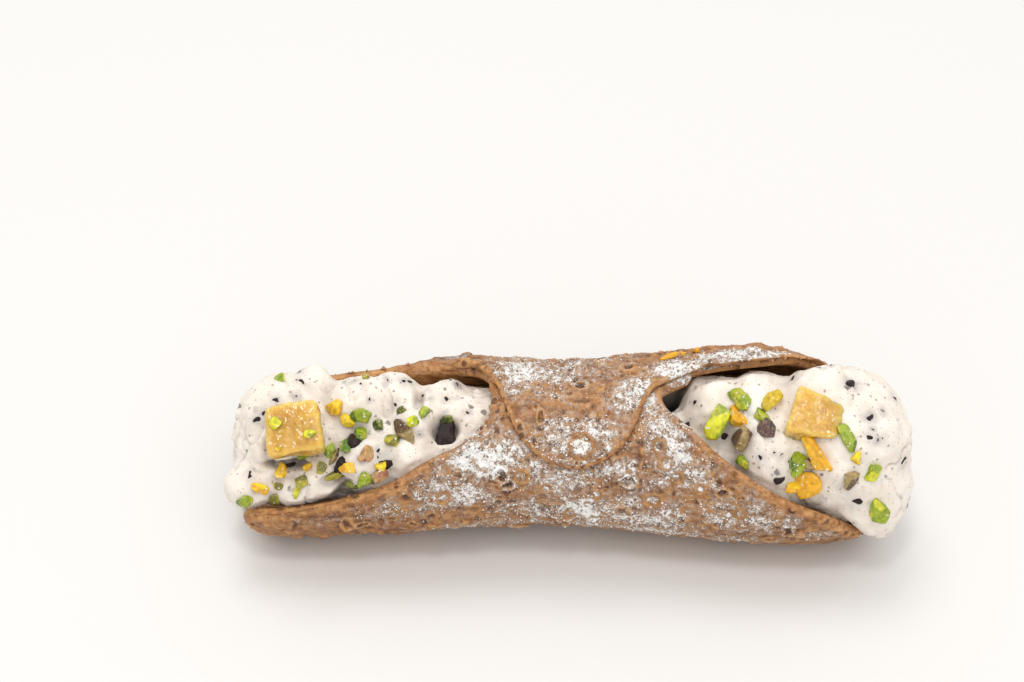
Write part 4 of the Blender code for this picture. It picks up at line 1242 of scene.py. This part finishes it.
materials = {
    "crust": crustMaterial(),
    "cream": creamMaterial(),
    "orange": orangeMaterial(),
    "nut": nutMaterial(),
    "chocolate": plainMaterial("dark_chocolate", (0.022, 0.013, 0.012), 0.42, 0.0, 0.22),
    "sugar": plainMaterial("powdered_sugar", (0.84, 0.82, 0.80), 0.75, 0.2),
    "bit": plainMaterial("orange_peel_bits", (0.72, 0.38, 0.012), 0.3, 0.3),
    "crumb": plainMaterial("pastry_crumb", (0.40, 0.20, 0.085), 0.6),
}

dress = [
    (crustOuter, "crust", "shell", "shell"), (crustLining, "crust", "shell", "shell"),
    (crustFlap, "crust", "shell", "shell"), (creamPiece, "cream", "cream", "cream"),
    (orangePieces["candied_orange_left"], "orange", "candied_orange_left", "candied_orange"),
    (orangePieces["candied_orange_right"], "orange", "candied_orange_right", "candied_orange"),
    (nutPieces[0], "nut", "cream", "cream"), (nutPieces[1], "nut", "cream", "cream"),
    (chipPiece, "chocolate", "cream", "cream"), (wedgePiece, "chocolate", "cream", "cream"),
    (grainPiece, "sugar", "shell", "shell"), (crumbPiece, "crumb", "shell", "shell"),
    (bitPiece, "bit", "shell", "shell"),
]
for piece, material, node, slotName in dress:
    piece.data.materials.append(materials[material])
    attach(piece, "root")
    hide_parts(node)
print("pieces dressed", len(dress))

# Floor, light and camera.
studio = {
    "floor": (0.745, 0.737, 0.728), "floorSize": 12.0, "world": (1.0, 0.987, 0.972), "worldStrength": 0.82,
    # place, size, power in watts, colour
    "lamps": [
        ((-0.24, 0.50, 1.42), 0.70, 5.5, (1.0, 0.985, 0.96)),
        ((0.45, -0.75, 1.25), 1.3, 5.5, (1.0, 0.98, 0.95)),
        ((-0.10, -0.30, 1.20), 0.22, 2.4, (1.0, 0.99, 0.97)),
    ],
    "elevation": 43.0, "azimuth": 1.0, "distance": 0.542, "lens": 85.0,
    "target": (-0.0131, 0.0160, 0.03755),
}


def makeStudio():
    size = 0.5 * studio["floorSize"]
    corners = [(-size, -size, 0.0), (size, -size, 0.0), (size, size, 0.0), (-size, size, 0.0)]
    floor = makeMesh("floor", np.array(corners), [[0, 1, 2, 3]])
    floor.data.materials.append(plainMaterial("white_table", studio["floor"], 0.55))
    world = bpy.data.worlds.new("soft_sky")
    bpy.context.scene.world = world
    world.use_nodes = True
    sky = world.node_tree.nodes["Background"]
    sky.inputs["Color"].default_value = (*studio["world"], 1.0)
    sky.inputs["Strength"].default_value = studio["worldStrength"]
    for place, width, power, colour in studio["lamps"]:
        data = bpy.data.lights.new("softbox", "AREA")
        data.shape = "DISK"
        data.size, data.energy, data.color = width, power, colour
        lamp = bpy.data.objects.new("softbox", data)
        lamp.location = place
        lamp.rotation_euler = (Vector((0.0, 0.0, 0.02)) - Vector(place)).to_track_quat("-Z", "Y").to_euler()
        bpy.context.scene.collection.objects.link(lamp)


def makeCamera():
    data = bpy.data.cameras.new("camera")
    data.lens = studio["lens"]
    data.clip_start = 0.01
    camera = bpy.data.objects.new("camera", data)
    up, around = math.radians(studio["elevation"]), math.radians(studio["azimuth"])
    back = Vector((math.sin(around) * math.cos(up), -math.cos(around) * math.cos(up), math.sin(up)))
    camera.location = Vector(studio["target"]) + studio["distance"] * back
    camera.rotation_euler = (-back).to_track_quat("-Z", "Y").to_euler()
    bpy.context.scene.collection.objects.link(camera)
    bpy.context.scene.camera = camera


makeStudio()
makeCamera()
bpy.context.scene.view_settings.view_transform = "Standard"
print("studio ready")
